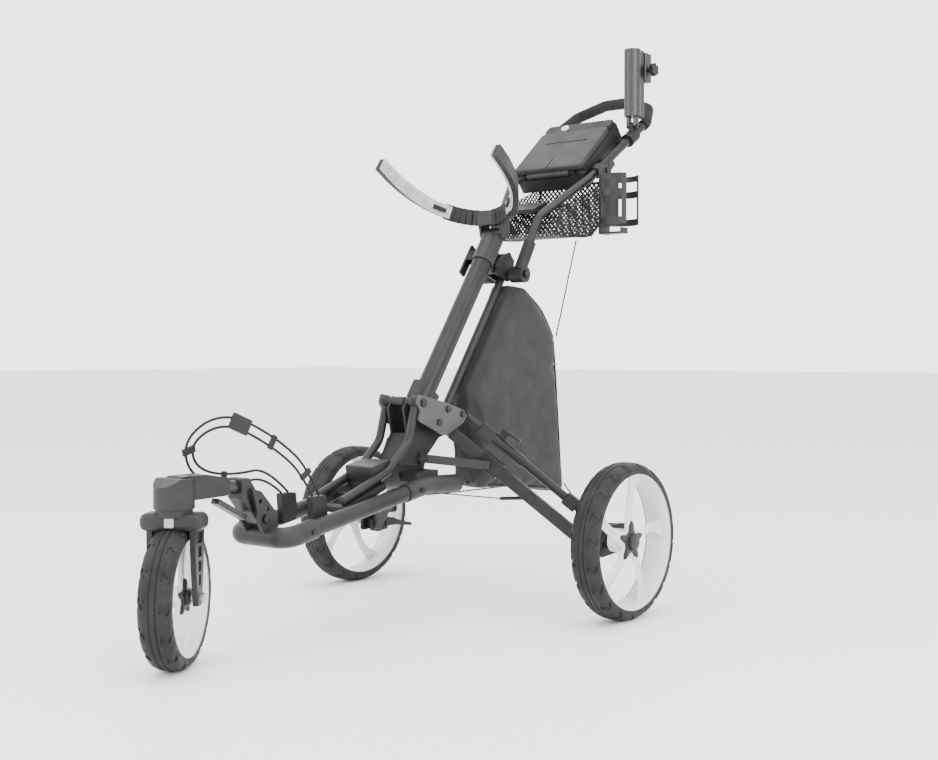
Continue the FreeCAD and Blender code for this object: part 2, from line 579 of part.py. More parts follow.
def cradle_arm():
    start = vec(24.0, CRADLE_PIVOT.y - 26.0, CRADLE_PIVOT.z + 32.0)
    tip = vec(*CRADLE_TIP)
    count = 8
    centres, ups, outs = [], [], []
    for step in range(count + 1):
        share = step / count
        x = start.x + (tip.x - start.x) * math.sin(share * math.pi / 2) ** 0.9
        y = start.y + (tip.y - start.y) * (0.35 * share + 0.65 * share ** 2)
        z = start.z + (tip.z - start.z) * (0.25 * share + 0.75 * share ** 2)
        centres.append(vec(x, y, z))
    for step in range(count + 1):
        ahead = (centres[min(step + 1, count)] - centres[max(step - 1, 0)]).normalize()
        out = ahead.cross(vec(0, 0, 1)).normalize()
        ups.append(out.cross(ahead).normalize())
        outs.append(out)
    band = ruled_band(centres, ups, outs, 26.0, 10.0)
    pads = [centre + out * 8.2 for centre, out in zip(centres, outs)]
    pad = ruled_band(pads[2:], ups[2:], outs[2:], 24.0, 6.0)
    return band, pad


arm, pad = cradle_arm()
block_low = CRADLE_PIVOT.z + 16.0
cradle_block = box((-24.0, CRADLE_PIVOT.y - 34.0, block_low), (24.0, CRADLE_PIVOT.y + 16.0, block_low + 30.0))
cradle_block = soften(cradle_block, 3.0)
cradle_ears = []
for sign in (-1, 1):
    low, high = sorted((sign * (COLLAR_R + GAP), sign * (COLLAR_R + GAP + 6.0)))
    ear_outline = [(CRADLE_PIVOT.y - 11, CRADLE_PIVOT.z - 10), (CRADLE_PIVOT.y + 11, CRADLE_PIVOT.z - 10),
                   (CRADLE_PIVOT.y + 14, block_low + 10), (CRADLE_PIVOT.y - 20, block_low + 10)]
    cradle_ears.append(profile_x(ear_outline, low, high))
cradle_pin = cross_pin(CRADLE_PIVOT.y, CRADLE_PIVOT.z, PIN_R, COLLAR_R + GAP + 6.0)
cradle_block = joined(cradle_block, *cradle_ears, cradle_pin)
pad = pad.cut(arm)
parts["cradle_block"] = solid_of(cradle_block.cut(arm).cut(mirrored(arm)))
parts["cradle_arms"] = apart(solid_of(arm), mirrored(solid_of(arm)))
parts["cradle_pads"] = apart(solid_of(pad), mirrored(solid_of(pad)))

# ---------------------------------------------------------------- handle
LOWER_BEND = vec(HANDLE_X + 4, 140.0, 778.0)
WAIST = vec(103.0, 250.0, 864.0)
SHOULDER = vec(118.0, 452.0, 1006.0)
CORNER = vec(96.0, 500.0, 1046.0)
CROWN = vec(30.0, 519.0, 1070.0)
tube_foot = HANDLE_PIVOT + vec(HANDLE_X, 4.0, 20.0)
left_run = [tube_foot, LOWER_BEND, WAIST, SHOULDER, CORNER, CROWN]
right_run = [vec(-p.x, p.y, p.z) for p in reversed(left_run)]
handle_path = left_run + right_run
parts["handle_tube"] = tube(handle_path, HANDLE_R, 24.0)
grip_start = SHOULDER + (WAIST - SHOULDER).normalize() * 14.0
grip_path = [grip_start, SHOULDER, CORNER, CROWN]
grip_path += [vec(-p.x, p.y, p.z) for p in reversed(grip_path)]
parts["handle_grip"] = tube(grip_path, GRIP_R, 24.0, HANDLE_R)

rings = []
ring_in = CHEEK_IN + CHEEK_T + GAP + 8.0
for sign in (-1, 1):
    ring_face = vec(sign * ring_in, HANDLE_PIVOT.y, HANDLE_PIVOT.z)
    ring = cylinder(ring_face, vec(sign, 0, 0), 17.0, 58.0 - ring_in)
    start = tube_foot - (LOWER_BEND - tube_foot).normalize() * 14.0
    cup = rod(start, start + (LOWER_BEND - start).normalize() * 66.0, 13.0)
    if sign < 0:
        cup = mirrored(cup)
    rings.append(joined(ring, cup).cut(parts["handle_tube"]).cut(
        cross_pin(HANDLE_PIVOT.y, HANDLE_PIVOT.z, AXLE_R + RUN, 80)))
parts["handle_sockets"] = apart(*[solid_of(r) for r in rings])


# ---------------------------------------------------------------- console
def console_point(x, up, out):
    return LIP + vec(x, 0, 0) + CONSOLE_UP * up + CONSOLE_OUT * out


def console_box(half, up_low, up_high, out_low, out_high):
    corners = [console_point(-half, up_low, out_low), console_point(half, up_low, out_low),
               console_point(half, up_high, out_low), console_point(-half, up_high, out_low)]
    face = Part.Face(Part.makePolygon(corners + corners[:1]))
    return face.extrude(CONSOLE_OUT * (out_high - out_low))


def long_out(edge):
    first, last = edge.Vertexes[0].Point, edge.Vertexes[-1].Point
    return abs((last - first).normalize().dot(CONSOLE_OUT)) > 0.99


LID_HINGE = console_point(0, 3.0, -5.0)
DECK_UP = LID_LENGTH + 8.0
tray = soften(console_box(CONSOLE_HALF, 0, CONSOLE_LENGTH, -CONSOLE_DEPTH, 0), 12.0, long_out)
deck = soften(console_box(CONSOLE_HALF - 4, DECK_UP, CONSOLE_LENGTH - 4, -1.0, 10.0), 8.0, long_out)
hollow = console_box(CONSOLE_HALF - 12, 14.0, DECK_UP - 10.0, CONSOLE_WALL - CONSOLE_DEPTH, 20.0)
console = joined(tray, deck).cut(hollow)
lugs = []
for up in (60.0, 150.0):
    lugs.append(console_box(CONSOLE_HALF + 26.0, up, up + 22.0, -CONSOLE_DEPTH, -CONSOLE_DEPTH + 16.0))
console = joined(console, *lugs).cut(parts["handle_tube"]).cut(hollow)
button_base = console_point(-34.0, (DECK_UP + CONSOLE_LENGTH) / 2 - 4.0, 10.0)
BUTTON_R = 9.0
BUTTON_TRAVEL = 3.0
well = cylinder(button_base - CONSOLE_OUT * 8.0, CONSOLE_OUT, BUTTON_R + 0.3, 10.0)
hinge_relief = cylinder(console_point(-CONSOLE_HALF - 2, 3.0, -5.0), vec(1, 0, 0), 8.0, 2 * CONSOLE_HALF + 4)
console = console.cut(well).cut(hinge_relief)
hinge_ears = []
for sign in (-1, 1):
    low, high = sorted((sign * 60.0, sign * 66.0))
    slice_low = (low, LID_HINGE.y - 30, LID_HINGE.z - 30)
    slice_high = (high, LID_HINGE.y + 30, LID_HINGE.z + 30)
    hinge_ears.append(box(slice_low, slice_high).common(console_box(80.0, -1.5, 13.0, -14.0, -0.6)))
lid_pin_hole = cylinder(LID_HINGE - vec(120, 0, 0), vec(1, 0, 0), 2.5 + RUN, 240)
console = joined(console, *hinge_ears).cut(lid_pin_hole)
parts["console_body"] = solid_of(console)

lid = console_box(CONSOLE_HALF - 2, 4.0, DECK_UP - 1.0, 1.0, 12.0)
lid = soften(lid, 10.0, long_out)
lid = soften(lid, 4.0, lambda e: abs((e.CenterOfMass - LIP).dot(CONSOLE_OUT) - 12.0) < 0.01)
lid = lid.cut(console_box(CONSOLE_HALF - 8, 10.0, DECK_UP - 8.0, 0.0, 8.0))
lid = lid.cut(console_box(56.0, 104.0, 107.0, 10.0, 14.0)).cut(console_box(1.2, 4.0, 40.0, 10.0, 14.0))
knuckle = cylinder(LID_HINGE - vec(54, 0, 0), vec(1, 0, 0), 6.0, 108.0)
knuckle_web = console_box(54.0, 4.5, 9.0, -6.0, 3.0)
lid_pin = cylinder(LID_HINGE - vec(66, 0, 0), vec(1, 0, 0), 2.5, 132.0)
parts["console_lid"] = solid_of(joined(lid, knuckle, knuckle_web, lid_pin))
button = cylinder(button_base - CONSOLE_OUT * 4.0, CONSOLE_OUT, BUTTON_R, 8.0)
parts["lid_button"] = soften(button, 1.5, lambda e: len(e.Vertexes) == 1 and
                             (e.CenterOfMass - button_base).dot(CONSOLE_OUT) > 3.9)

tray_bar = profile_x([(128, 792), (176, 812), (180, 804), (134, 784)], -44, 44)
tray_bar = soften(tray_bar, 2.0, along_x)
parts["cross_tray"] = solid_of(tray_bar.cut(parts["handle_tube"]))


# ---------------------------------------------------------------- mesh basket under the console
def net_outline(inset):
    """Side view of the basket, shrunk evenly by inset."""
    return [(176 + inset, 800 - 3 * inset), (146 + inset, 746 + inset), (160 + inset, 735 + inset),
            (284 - inset, 741 + inset), (330 - inset, 792 + inset), (338 - inset, 868 - 4 * inset)]


net_outer = profile_x(net_outline(0.0), -NET_HALF, NET_HALF)
net_inner = profile_x(net_outline(2.0), 2.0 - NET_HALF, NET_HALF - 2.0)
mouth = profile_x([(182, 796), (300, 858), (300, 838), (196, 786)], -NET_HALF + 8, NET_HALF - 8)
net = net_outer.cut(net_inner).cut(mouth)
tube_room = tube(handle_path, HANDLE_R + GAP, 24.0)
console_room = console_box(CONSOLE_HALF + 2, -2.0, CONSOLE_LENGTH + 2, -CONSOLE_DEPTH - GAP, 20.0)
net = net.cut(tube_room).cut(console_room)
parts["mesh_basket"] = max(net.Solids, key=lambda s: s.Volume)


# ---------------------------------------------------------------- umbrella holder
clamp_at = WAIST + (SHOULDER - WAIST) * 0.72
tube_dir = (SHOULDER - WAIST).normalize()
umbrella_clamp = cylinder(clamp_at - tube_dir * 16.0, tube_dir, HANDLE_R + 6.0, 32.0)
stem = box((UMBRELLA_PIVOT.x - 5, UMBRELLA_PIVOT.y - 8, clamp_at.z),
           (UMBRELLA_PIVOT.x + 5, UMBRELLA_PIVOT.y + 8, UMBRELLA_PIVOT.z))
stem = stem.fuse(cylinder(UMBRELLA_PIVOT - vec(5, 0, 0), vec(1, 0, 0), 8.0, 10.0))
umbrella_clamp = joined(umbrella_clamp, stem).cut(parts["handle_tube"])
EAR_R = 6.0             # rounded end of the holder's fork
for sign in (-1, 1):
    room_start = UMBRELLA_PIVOT + vec(sign * 5.0, 0, 0)
    ear_room = cylinder(room_start, vec(sign, 0, 0), EAR_R + GAP, 8.0)
    umbrella_clamp = umbrella_clamp.cut(ear_room)
umbrella_pin = cylinder(UMBRELLA_PIVOT - vec(14, 0, 0), vec(1, 0, 0), 3.0, 28.0)
umbrella_clamp = solid_of(joined(umbrella_clamp, umbrella_pin).cut(parts["console_body"]))

socket_base = vec(UMBRELLA_PIVOT.x, UMBRELLA_PIVOT.y, UMBRELLA_PIVOT.z + 20.0)
socket_wall = 3.5
holder = cylinder(socket_base, vec(0, 0, 1), UMBRELLA_BORE + socket_wall, UMBRELLA_LENGTH)
lobe = box((socket_base.x - 12, socket_base.y, socket_base.z),
           (socket_base.x + 12, socket_base.y + 34, socket_base.z + UMBRELLA_LENGTH))
lobe = soften(lobe, 5.0, lambda e: abs(e.Vertexes[0].Z - e.Vertexes[-1].Z) > 100)
clamp_low = socket_base.z + UMBRELLA_LENGTH - 66.0
clamp_box = box((socket_base.x - 14, socket_base.y + 30, clamp_low),
                (socket_base.x + 16, socket_base.y + 56, socket_base.z + UMBRELLA_LENGTH - 2.0))
holder = joined(holder, lobe, soften(clamp_box, 4.0))
holder = holder.cut(cylinder(socket_base + vec(0, 0, 6.0), vec(0, 0, 1), UMBRELLA_BORE, UMBRELLA_LENGTH))
for sign in (-1, 1):
    low, high = sorted((sign * (5.0 + GAP), sign * 12.0))
    fork_ear = box((socket_base.x + low, UMBRELLA_PIVOT.y - EAR_R, UMBRELLA_PIVOT.z),
                   (socket_base.x + high, UMBRELLA_PIVOT.y + EAR_R, socket_base.z + 2))
    ear_start = vec(socket_base.x + low, UMBRELLA_PIVOT.y, UMBRELLA_PIVOT.z)
    ear_end = cylinder(ear_start, vec(1, 0, 0), EAR_R, high - low)
    holder = holder.fuse(fork_ear).fuse(ear_end)
holder = holder.cut(cylinder(UMBRELLA_PIVOT - vec(30, 0, 0), vec(1, 0, 0), 3.0 + RUN, 60))
KNOB_AXIS = vec(socket_base.x + 16, socket_base.y + 43, clamp_low + 26.0)
KNOB_SHAFT_R = 4.0
holder = holder.cut(cylinder(KNOB_AXIS - vec(24, 0, 0), vec(1, 0, 0), KNOB_SHAFT_R + RUN, 30))
parts["umbrella_holder"] = solid_of(holder.removeSplitter())
knob = cylinder(KNOB_AXIS + vec(8, 0, 0), vec(1, 0, 0), 14.0, 9.0)
for number in range(6):
    turn = math.radians(60.0 * number)
    flute_at = KNOB_AXIS + vec(7, 15.5 * math.cos(turn), 15.5 * math.sin(turn))
    knob = knob.cut(cylinder(flute_at, vec(1, 0, 0), 4.0, 12.0))
parts["umbrella_knob"] = joined(knob, cylinder(KNOB_AXIS - vec(20, 0, 0), vec(1, 0, 0), KNOB_SHAFT_R, 29.0))

# ---------------------------------------------------------------- bottle cage
cage_x = CAGE_PIVOT.x + 4.0
bottle_axis = vec(cage_x + BOTTLE_R + 4.0, CAGE_PIVOT.y - 14.0, 0)
cage_low = 762.0
cage_high = 866.0
shell = Part.makeCylinder(BOTTLE_R + 3.0, cage_high - cage_low, vec(bottle_axis.x, bottle_axis.y, cage_low))
shell = shell.cut(Part.makeCylinder(BOTTLE_R, 300.0, vec(bottle_axis.x, bottle_axis.y, cage_low - 50)))
shell = shell.cut(box((bottle_axis.x + 12, bottle_axis.y - 24, cage_low - 5),
                      (bottle_axis.x + 60, bottle_axis.y + 24, cage_high + 5)))
for low, high in ((cage_low + 14, cage_high - 46), (cage_high - 32, cage_high - 12)):
    window_low = (bottle_axis.x - 22, bottle_axis.y - 60, low)
    shell = shell.cut(box(window_low, (bottle_axis.x + 26, bottle_axis.y + 60, high)))
back_rail = box((cage_x, bottle_axis.y - 13, 744.0), (cage_x + 5, CAGE_PIVOT.y + 10, CAGE_PIVOT.z + 10))
shelf = box((cage_x, bottle_axis.y - 13, 744.0), (cage_x + 56, bottle_axis.y + 13, 748.0))
lip = box((cage_x + 53, bottle_axis.y - 13, 744.0), (cage_x + 56, bottle_axis.y + 13, 756.0))
cage = joined(shell, back_rail, shelf, lip)
cage = cage.cut(cylinder(CAGE_PIVOT - vec(20, 0, 0), vec(1, 0, 0), PIN_R + RUN, 60))
parts["bottle_cage"] = solid_of(cage)
cage_tube_at = WAIST + tube_dir * 30.0
cage_mount = cylinder(cage_tube_at - tube_dir * 9.0, tube_dir, HANDLE_R + 4.5, 18.0)
cage_mount = cage_mount.fuse(cylinder(vec(cage_tube_at.x, CAGE_PIVOT.y, CAGE_PIVOT.z), vec(1, 0, 0), 8.0,
                                      cage_x - GAP - cage_tube_at.x))
cage_pin = cylinder(vec(cage_tube_at.x + 10, CAGE_PIVOT.y, CAGE_PIVOT.z), vec(1, 0, 0), PIN_R,
                    cage_x + 7 - cage_tube_at.x - 10)
cage_head = cylinder(vec(cage_x + 5 + GAP, CAGE_PIVOT.y, CAGE_PIVOT.z), vec(1, 0, 0), 8.0, 4.0)
cage_mount = joined(cage_mount, cage_pin, cage_head).cut(parts["handle_tube"])
cage_mount = solid_of(cage_mount.cut(parts["console_body"]))
parts["accessory_clamps"] = apart(umbrella_clamp, cage_mount)


# ---------------------------------------------------------------- rear legs
def leg_pieces():
    """The left leg: two parallel links from the frame to the wheel bracket, sleeve, strut and paddle."""
    length = (LEG_STOP - LEG_START).Length
    upper_start = LEG_START + LEG_SHIFT
    upper_stop = LEG_STOP + LEG_SHIFT
    pins = []
    pieces = {}
    lower = bar(LEG_START + LEG_DIR * 6.0, LEG_STOP - LEG_DIR * 4.0, LEG_AXIS, LEG_BAR_W, LEG_BAR_H)
    lower = soften(lower, 2.0, lambda e: e.Length > length * 0.8)
    upper = rod(upper_start, upper_stop, LEG_TUBE_R)
    for link, start, stop in ((lower, LEG_START, LEG_STOP), (upper, upper_start, upper_stop)):
        eyes = [cylinder(point - LEG_AXIS * 8.0, LEG_AXIS, 11.0, 16.0) for point in (start, stop)]
        holes = [cylinder(point - LEG_AXIS * 40.0, LEG_AXIS, PIN_R + RUN, 80.0) for point in (start, stop)]
        solid = joined(link, *eyes)
        for hole in holes:
            solid = solid.cut(hole)
        pieces["lower" if link is lower else "upper"] = solid
    pins.append(cylinder(LEG_START - LEG_AXIS * 11.0, LEG_AXIS, PIN_R, 36.0))
    trunnion = cylinder(upper_start - LEG_AXIS * 29.0, LEG_AXIS, PIN_R, 40.0)
    clevis_at = LEG_START + LEG_DIR * (length * 0.575)
    clevis = bar(clevis_at - LEG_AXIS * 12.0, clevis_at - LEG_AXIS * 8.0, LEG_DIR, 16.0, 14.0)
    arm_end = vec(106.0, clevis_at.y - 8.0, clevis_at.z - 6.0)
    clevis = joined(clevis, rod(clevis_at - LEG_AXIS * 10.0, arm_end, 3.5))
    pieces["lower"] = joined(pieces["lower"], clevis)

    # telescopic outer sleeve, clamp block and lower clamp on the upper tube
    up_dir = LEG_DIR
    block = bar(upper_start + up_dir * 44.0, upper_start + up_dir * 80.0, LEG_AXIS, 22.0, 30.0)
    outer = cylinder(upper_start + up_dir * 60.0, up_dir, 11.0, 92.0)
    low_clamp = bar(upper_start + up_dir * 256.0, upper_start + up_dir * 286.0, LEG_AXIS, 20.0, 26.0)
    room = cylinder(upper_start, up_dir, LEG_TUBE_R, length)
    clamp = joined(soften(block, 3.0), outer)
    pieces["clamp"] = clamp.cut(room)
    pieces["low_clamp"] = soften(low_clamp, 3.0).cut(room)

    # paddle lever that locks the telescopic tube
    rise = LEG_RISE
    paddle_pivot = upper_start + up_dir * PADDLE_AT + rise * PADDLE_RISE
    lug = bar(paddle_pivot - rise * 9.0, paddle_pivot + rise * 4.0, LEG_AXIS, 7.0, 12.0)
    hole = cylinder(paddle_pivot - LEG_AXIS * 20.0, LEG_AXIS, 2.5 + RUN, 40.0)
    pieces["clamp"] = solid_of(joined(pieces["clamp"], lug).cut(hole).cut(room))
    paddle_top = bar(paddle_pivot - up_dir * 8.0 + rise * 8.0, paddle_pivot + up_dir * 34.0 + rise * 12.0,
                     LEG_AXIS, 20.0, 4.0)
    cheeks = []
    for sign in (-1, 1):
        cheek = bar(paddle_pivot - up_dir * 5.0 + rise * 3.0, paddle_pivot + up_dir * 9.0 + rise * 3.0,
                    LEG_AXIS, 3.0, 13.0)
        cheek.translate(LEG_AXIS * (sign * 5.5))
        cheeks.append(cheek)
    paddle_pin = cylinder(paddle_pivot - LEG_AXIS * 7.0, LEG_AXIS, 2.5, 14.0)
    pieces["paddle"] = solid_of(joined(paddle_top, *cheeks, paddle_pin))

    # sliding sleeve on the lower bar, with the strut that draws it in
    sleeve_at = LEG_START + LEG_DIR * SLEEVE_AT
    sleeve_low = sleeve_at - LEG_DIR * (SLEEVE_LENGTH / 2)
    sleeve_high = sleeve_at + LEG_DIR * (SLEEVE_LENGTH / 2)
    slider = bar(sleeve_low, sleeve_high, LEG_AXIS, LEG_BAR_W + 7.0, LEG_BAR_H + 7.0)
    slider = soften(slider, 2.5, lambda e: abs(e.Length - SLEEVE_LENGTH) < 0.01)
    slider = slider.cut(bar(sleeve_low, sleeve_high, LEG_AXIS, LEG_BAR_W + 0.6, LEG_BAR_H + 0.6, 1.0))
    pieces["sleeve"] = solid_of(slider)
    strut_start = vec(*STRUT_PIVOT)
    strut_stop = sleeve_at - LEG_AXIS * (LEG_BAR_W / 2 + 3.5 + 6.0)
    strut = bar(strut_start, strut_stop, LEG_AXIS.cross(strut_stop - strut_start), 16.0, 5.0)
    strut = joined(strut, cylinder(strut_start - LEG_AXIS * 3.0, LEG_AXIS, 9.0, 6.0))
    strut_pin_room = cylinder(strut_start - LEG_AXIS * 40.0, LEG_AXIS, PIN_R + RUN, 80.0)
    pieces["strut"] = solid_of(strut.cut(strut_pin_room))
    pins.append(cylinder(strut_start - LEG_AXIS * 5.0, LEG_AXIS, PIN_R, 12.0))

    # wheel bracket that joins both links and carries the axle
    bracket_x = REAR_TRACK - REAR_WIDTH / 2 - 9.0
    plan = vec(LEG_AXIS.y, -LEG_AXIS.x, 0)
    spine_x = bracket_x - 6.0
    spine = [(LEG_STOP.y - 18, LEG_STOP.z - 14), (upper_stop.y + 24, LEG_STOP.z - 8),
             (upper_stop.y + 24, upper_stop.z + 12), (LEG_STOP.y - 8, upper_stop.z + 12)]
    solid = profile_x(spine, spine_x, spine_x + 7.0)
    solid = soften(solid, 6.0, along_x)
    for point in (LEG_STOP, upper_stop):
        for sign in (-1, 1):
            near = point + LEG_AXIS * (sign * (max(LEG_BAR_W / 2, LEG_TUBE_R) + GAP + 2.5))
            cheek = bar(near, near + plan * ((spine_x + 4.0 - near.x) / plan.x), LEG_AXIS, 5.0, 20.0)
            knuckle = cylinder(near - LEG_AXIS * 2.5, LEG_AXIS, 10.0, 5.0)
            solid = solid.fuse(cheek).fuse(knuckle)
        solid = solid.fuse(cylinder(point - LEG_AXIS * 15.0, LEG_AXIS, PIN_R, 30.0))
    solid = solid.fuse(cylinder(vec(bracket_x - 8.0, 0, REAR_R), vec(1, 0, 0), 17.0, 14.0))
    bracket_solid = solid.fuse(cylinder(vec(bracket_x, 0, REAR_R), vec(1, 0, 0), AXLE_R, REAR_WIDTH + 5.0))
    pieces["bracket"] = solid_of(bracket_solid)
    pieces["trunnion"] = trunnion
    return pieces, pins


leg, leg_pins = leg_pieces()
for label, flip in (("left", lambda s: s), ("right", mirrored)):
    parts["leg_bar_" + label] = flip(solid_of(leg["lower"]))
    leg_clamps = (flip(leg["clamp"]), flip(leg["low_clamp"]))
    parts["leg_tube_" + label] = apart(flip(solid_of(leg["upper"])), *leg_clamps)
    parts["leg_paddle_" + label] = flip(leg["paddle"])
    parts["leg_sleeve_" + label] = flip(leg["sleeve"])
    parts["leg_strut_" + label] = flip(leg["strut"])
    parts["wheel_bracket_" + label] = flip(leg["bracket"])
leg_pin_set = leg_pins + [mirrored(pin) for pin in leg_pins]
post_bolt, link_bolt, lower_bolt = bolts
link_bolt = joined(link_bolt, leg["trunnion"], mirrored(leg["trunnion"]))
parts["frame_fasteners"] = apart(post_bolt, link_bolt, lower_bolt, *arch_bolt.Solids, *rail_bolts, neck_pin,
                                 *leg_pin_set)
eye_room = cylinder(LEG_START - LEG_AXIS * (LEG_BAR_W / 2 + GAP), LEG_AXIS, 12.5, LEG_BAR_W + 2 * GAP)
pin_room = joined(*leg_pins)
strut_room = cylinder(vec(*STRUT_PIVOT) - LEG_AXIS * (3.0 + GAP), LEG_AXIS, 20.0, 6.0 + 2 * GAP)
frame_bracket = parts["frame_bracket"].cut(eye_room).cut(mirrored(eye_room))
frame_bracket = frame_bracket.cut(strut_room).cut(mirrored(strut_room))
parts["frame_bracket"] = solid_of(frame_bracket.cut(pin_room).cut(mirrored(pin_room)))

# ---------------------------------------------------------------- foot brake on the right leg
brake_x = -(REAR_TRACK - REAR_WIDTH / 2 - 16.0)
PEDAL_PIVOT = vec(brake_x, 58.0, 126.0)
pedal = profile_x([(58, 134), (96, 124), (126, 116), (126, 110), (92, 114), (58, 120), (50, 127)],
                  brake_x - 11, brake_x + 11)
pedal = soften(pedal, 2.0, along_x)
brake_box = profile_x([(10, 108), (44, 112), (44, 142), (30, 150), (10, 140)], brake_x - 9, brake_x + 13)
brake_box = soften(brake_box, 3.0, along_x)
pedal_ears = []
for sign in (-1, 1):
    low, high = sorted((brake_x + sign * (11.0 + GAP), brake_x + sign * (15.0 + GAP)))
    pedal_ears.append(profile_x([(36, 118), (66, 118), (66, 134), (36, 138)], low, high))
pedal = pedal.cut(cylinder(PEDAL_PIVOT - vec(30, 0, 0), vec(1, 0, 0), 2.5 + RUN, 60))
pedal_pin = cylinder(PEDAL_PIVOT - vec(15, 0, 0), vec(1, 0, 0), 2.5, 30)
parts["brake_pedal"] = solid_of(pedal)
pedal_room = box((brake_x - 16.0 - GAP, 44.0, 100.0), (brake_x + 16.0 + GAP, 80.0, 152.0))
parts["wheel_bracket_right"] = solid_of(parts["wheel_bracket_right"].cut(pedal_room))
brake = joined(brake_box, *pedal_ears, pedal_pin).cut(parts["wheel_bracket_right"])
parts["brake_housing"] = max(brake.Solids, key=lambda s: s.Volume)

# ---------------------------------------------------------------- storage bag behind the post
bag_front = side(*REAR_PIVOT) + POST_BACK * (REAR_TUBE_R + 3.0)
edge_low = bag_front + POST_DIR * 66.0
edge_high = bag_front + POST_DIR * (LINK_LENGTH - 22.0)
bag_outline = [(edge_low.y, edge_low.z), (edge_high.y, edge_high.z), (126.0, 628.0), (186.0, 590.0),
               (226.0, 540.0), (234.0, 515.0), (264.0, 206.0), (248.0, 200.0), (-20.0, 228.0), (-44.0, 244.0)]
storage_bag = profile_x(bag_outline, -BAG_HALF, BAG_HALF)
storage_bag = soften(storage_bag, 6.0, lambda e: along_x(e) and e.CenterOfMass.z < 560)
parts["storage_bag"] = storage_bag

# ---------------------------------------------------------------- cords
bag_cord = [vec(BAG_HALF + 2.0, 222.0, 530.0), vec(60.0, 262.0, 735.0)]
corner_cord = [vec(BAG_HALF + 2.5, 252.0, 214.0), vec(120.0, 160.0, 196.0), vec(236.0, 66.0, 184.0)]
corner_rod = tube(corner_cord, 1.5, 60.0)
parts["bag_cords"] = apart(rod(bag_cord[0], bag_cord[1], 1.5), corner_rod, mirrored(corner_rod))
clevis_y = (LEG_START + LEG_DIR * ((LEG_STOP - LEG_START).Length * 0.575)).y - 8.0
clevis_z = (LEG_START + LEG_DIR * ((LEG_STOP - LEG_START).Length * 0.575)).z - 6.0
parts["brake_cable"] = cylinder(vec(-104.0, clevis_y, clevis_z), vec(1, 0, 0), 1.2, 208.0)

# ---------------------------------------------------------------- lower bag strap
STRAP_R = 2.2
STRAP_X = 38.0
strap_bracket = profile_x([(-512, 252), (-478, 252), (-474, 214), (-508, 208)], STRAP_X - 8.0, STRAP_X + 6.0)
strap_bracket = soften(strap_bracket, 3.0, along_x)
rail_pair = joined(rails_fat, mirrored(rails_fat))
strap_foot = profile_x([(-508, 214), (-478, 220), (-478, 204), (-508, 199)], STRAP_X - 8.0, RAIL_X)
strap_bracket = joined(strap_bracket, strap_foot).cut(rail_pair)
strap_route = [vec(STRAP_X, -498.0, 253.0), vec(41.0, -530.0, 300.0), vec(38.0, -574.0, 336.0),
               vec(29.0, -622.0, 366.0), vec(12.0, -660.0, 386.0), vec(-8.0, -694.0, 380.0),
               vec(-24.0, -721.0, 350.0), vec(-31.0, -709.0, 312.0), vec(-36.0, -668.0, 290.0),
               vec(-39.0, -602.0, 284.0), vec(-41.0, -540.0, 291.0), vec(-STRAP_X, -498.0, 253.0)]
STRAND_OFF = 8.0        # each strand from the middle of the strap
strap_ahead = [(after - before).normalize() for before, after in zip(strap_route, strap_route[2:])]
strap_across = [ahead.cross(vec(1, 0, 0)).normalize() for ahead in strap_ahead]
strap_across = [vec(0, 1, 0)] + strap_across + [vec(0, -1, 0)]
strands = []
for sign in (-1, 1):
    strand = [point + across * (sign * STRAND_OFF) for point, across in zip(strap_route, strap_across)]
    print("strap bends", [round(bend) for bend in cord_bends(strand)])
    strands.append(tube(strand, STRAP_R, None))
parts["strap_cords"] = apart(*strands)


def strap_clip(index, share, length, width, thickness):
    """A moulded clip that holds both strands, part of the way from one point of the route to the next."""
    point = strap_route[index] + (strap_route[index + 1] - strap_route[index]) * share
    ahead = (strap_route[index + 1] - strap_route[index]).normalize() * (length / 2)
    across = ahead.cross(vec(1, 0, 0)).normalize()
    clip = soften(bar(point - ahead, point + ahead, across, width, thickness), 1.5)
    return max(clip.cut(apart(*strands)).Solids, key=lambda s: s.Volume)


clips = [strap_clip(0, 0.8, 10.0, 25.0, 6.0), strap_clip(2, 0.4, 10.0, 25.0, 6.0),
         strap_clip(3, 0.68, 34.0, 27.0, 9.0), strap_clip(6, 0.3, 12.0, 25.0, 6.0),
         strap_clip(8, 0.5, 10.0, 25.0, 6.0)]
strap_brackets = (solid_of(strap_bracket), mirrored(solid_of(strap_bracket)))
parts["strap_fittings"] = apart(*strap_brackets, *clips)

# ---------------------------------------------------------------- place and write
soft_and_cords = ("bag_cords", "brake_cable", "strap_cords")
footprint = Part.makeCompound([shape for name, shape in parts.items() if name not in soft_and_cords]).BoundBox
PLACE = vec(0, -(footprint.YMin + footprint.YMax) / 2, -footprint.ZMin)
for name, shape in parts.items():
    moved = shape.copy()
    moved.translate(PLACE)
    moved.exportStep(os.path.join("parts", name + ".step"))
print(len(parts), "pieces, origin shift", round(PLACE.y, 3), round(PLACE.z, 3))
for name, shape in parts.items():
    if not shape.isValid() or not shape.Solids:
        print("not sound:", name, len(shape.Solids))
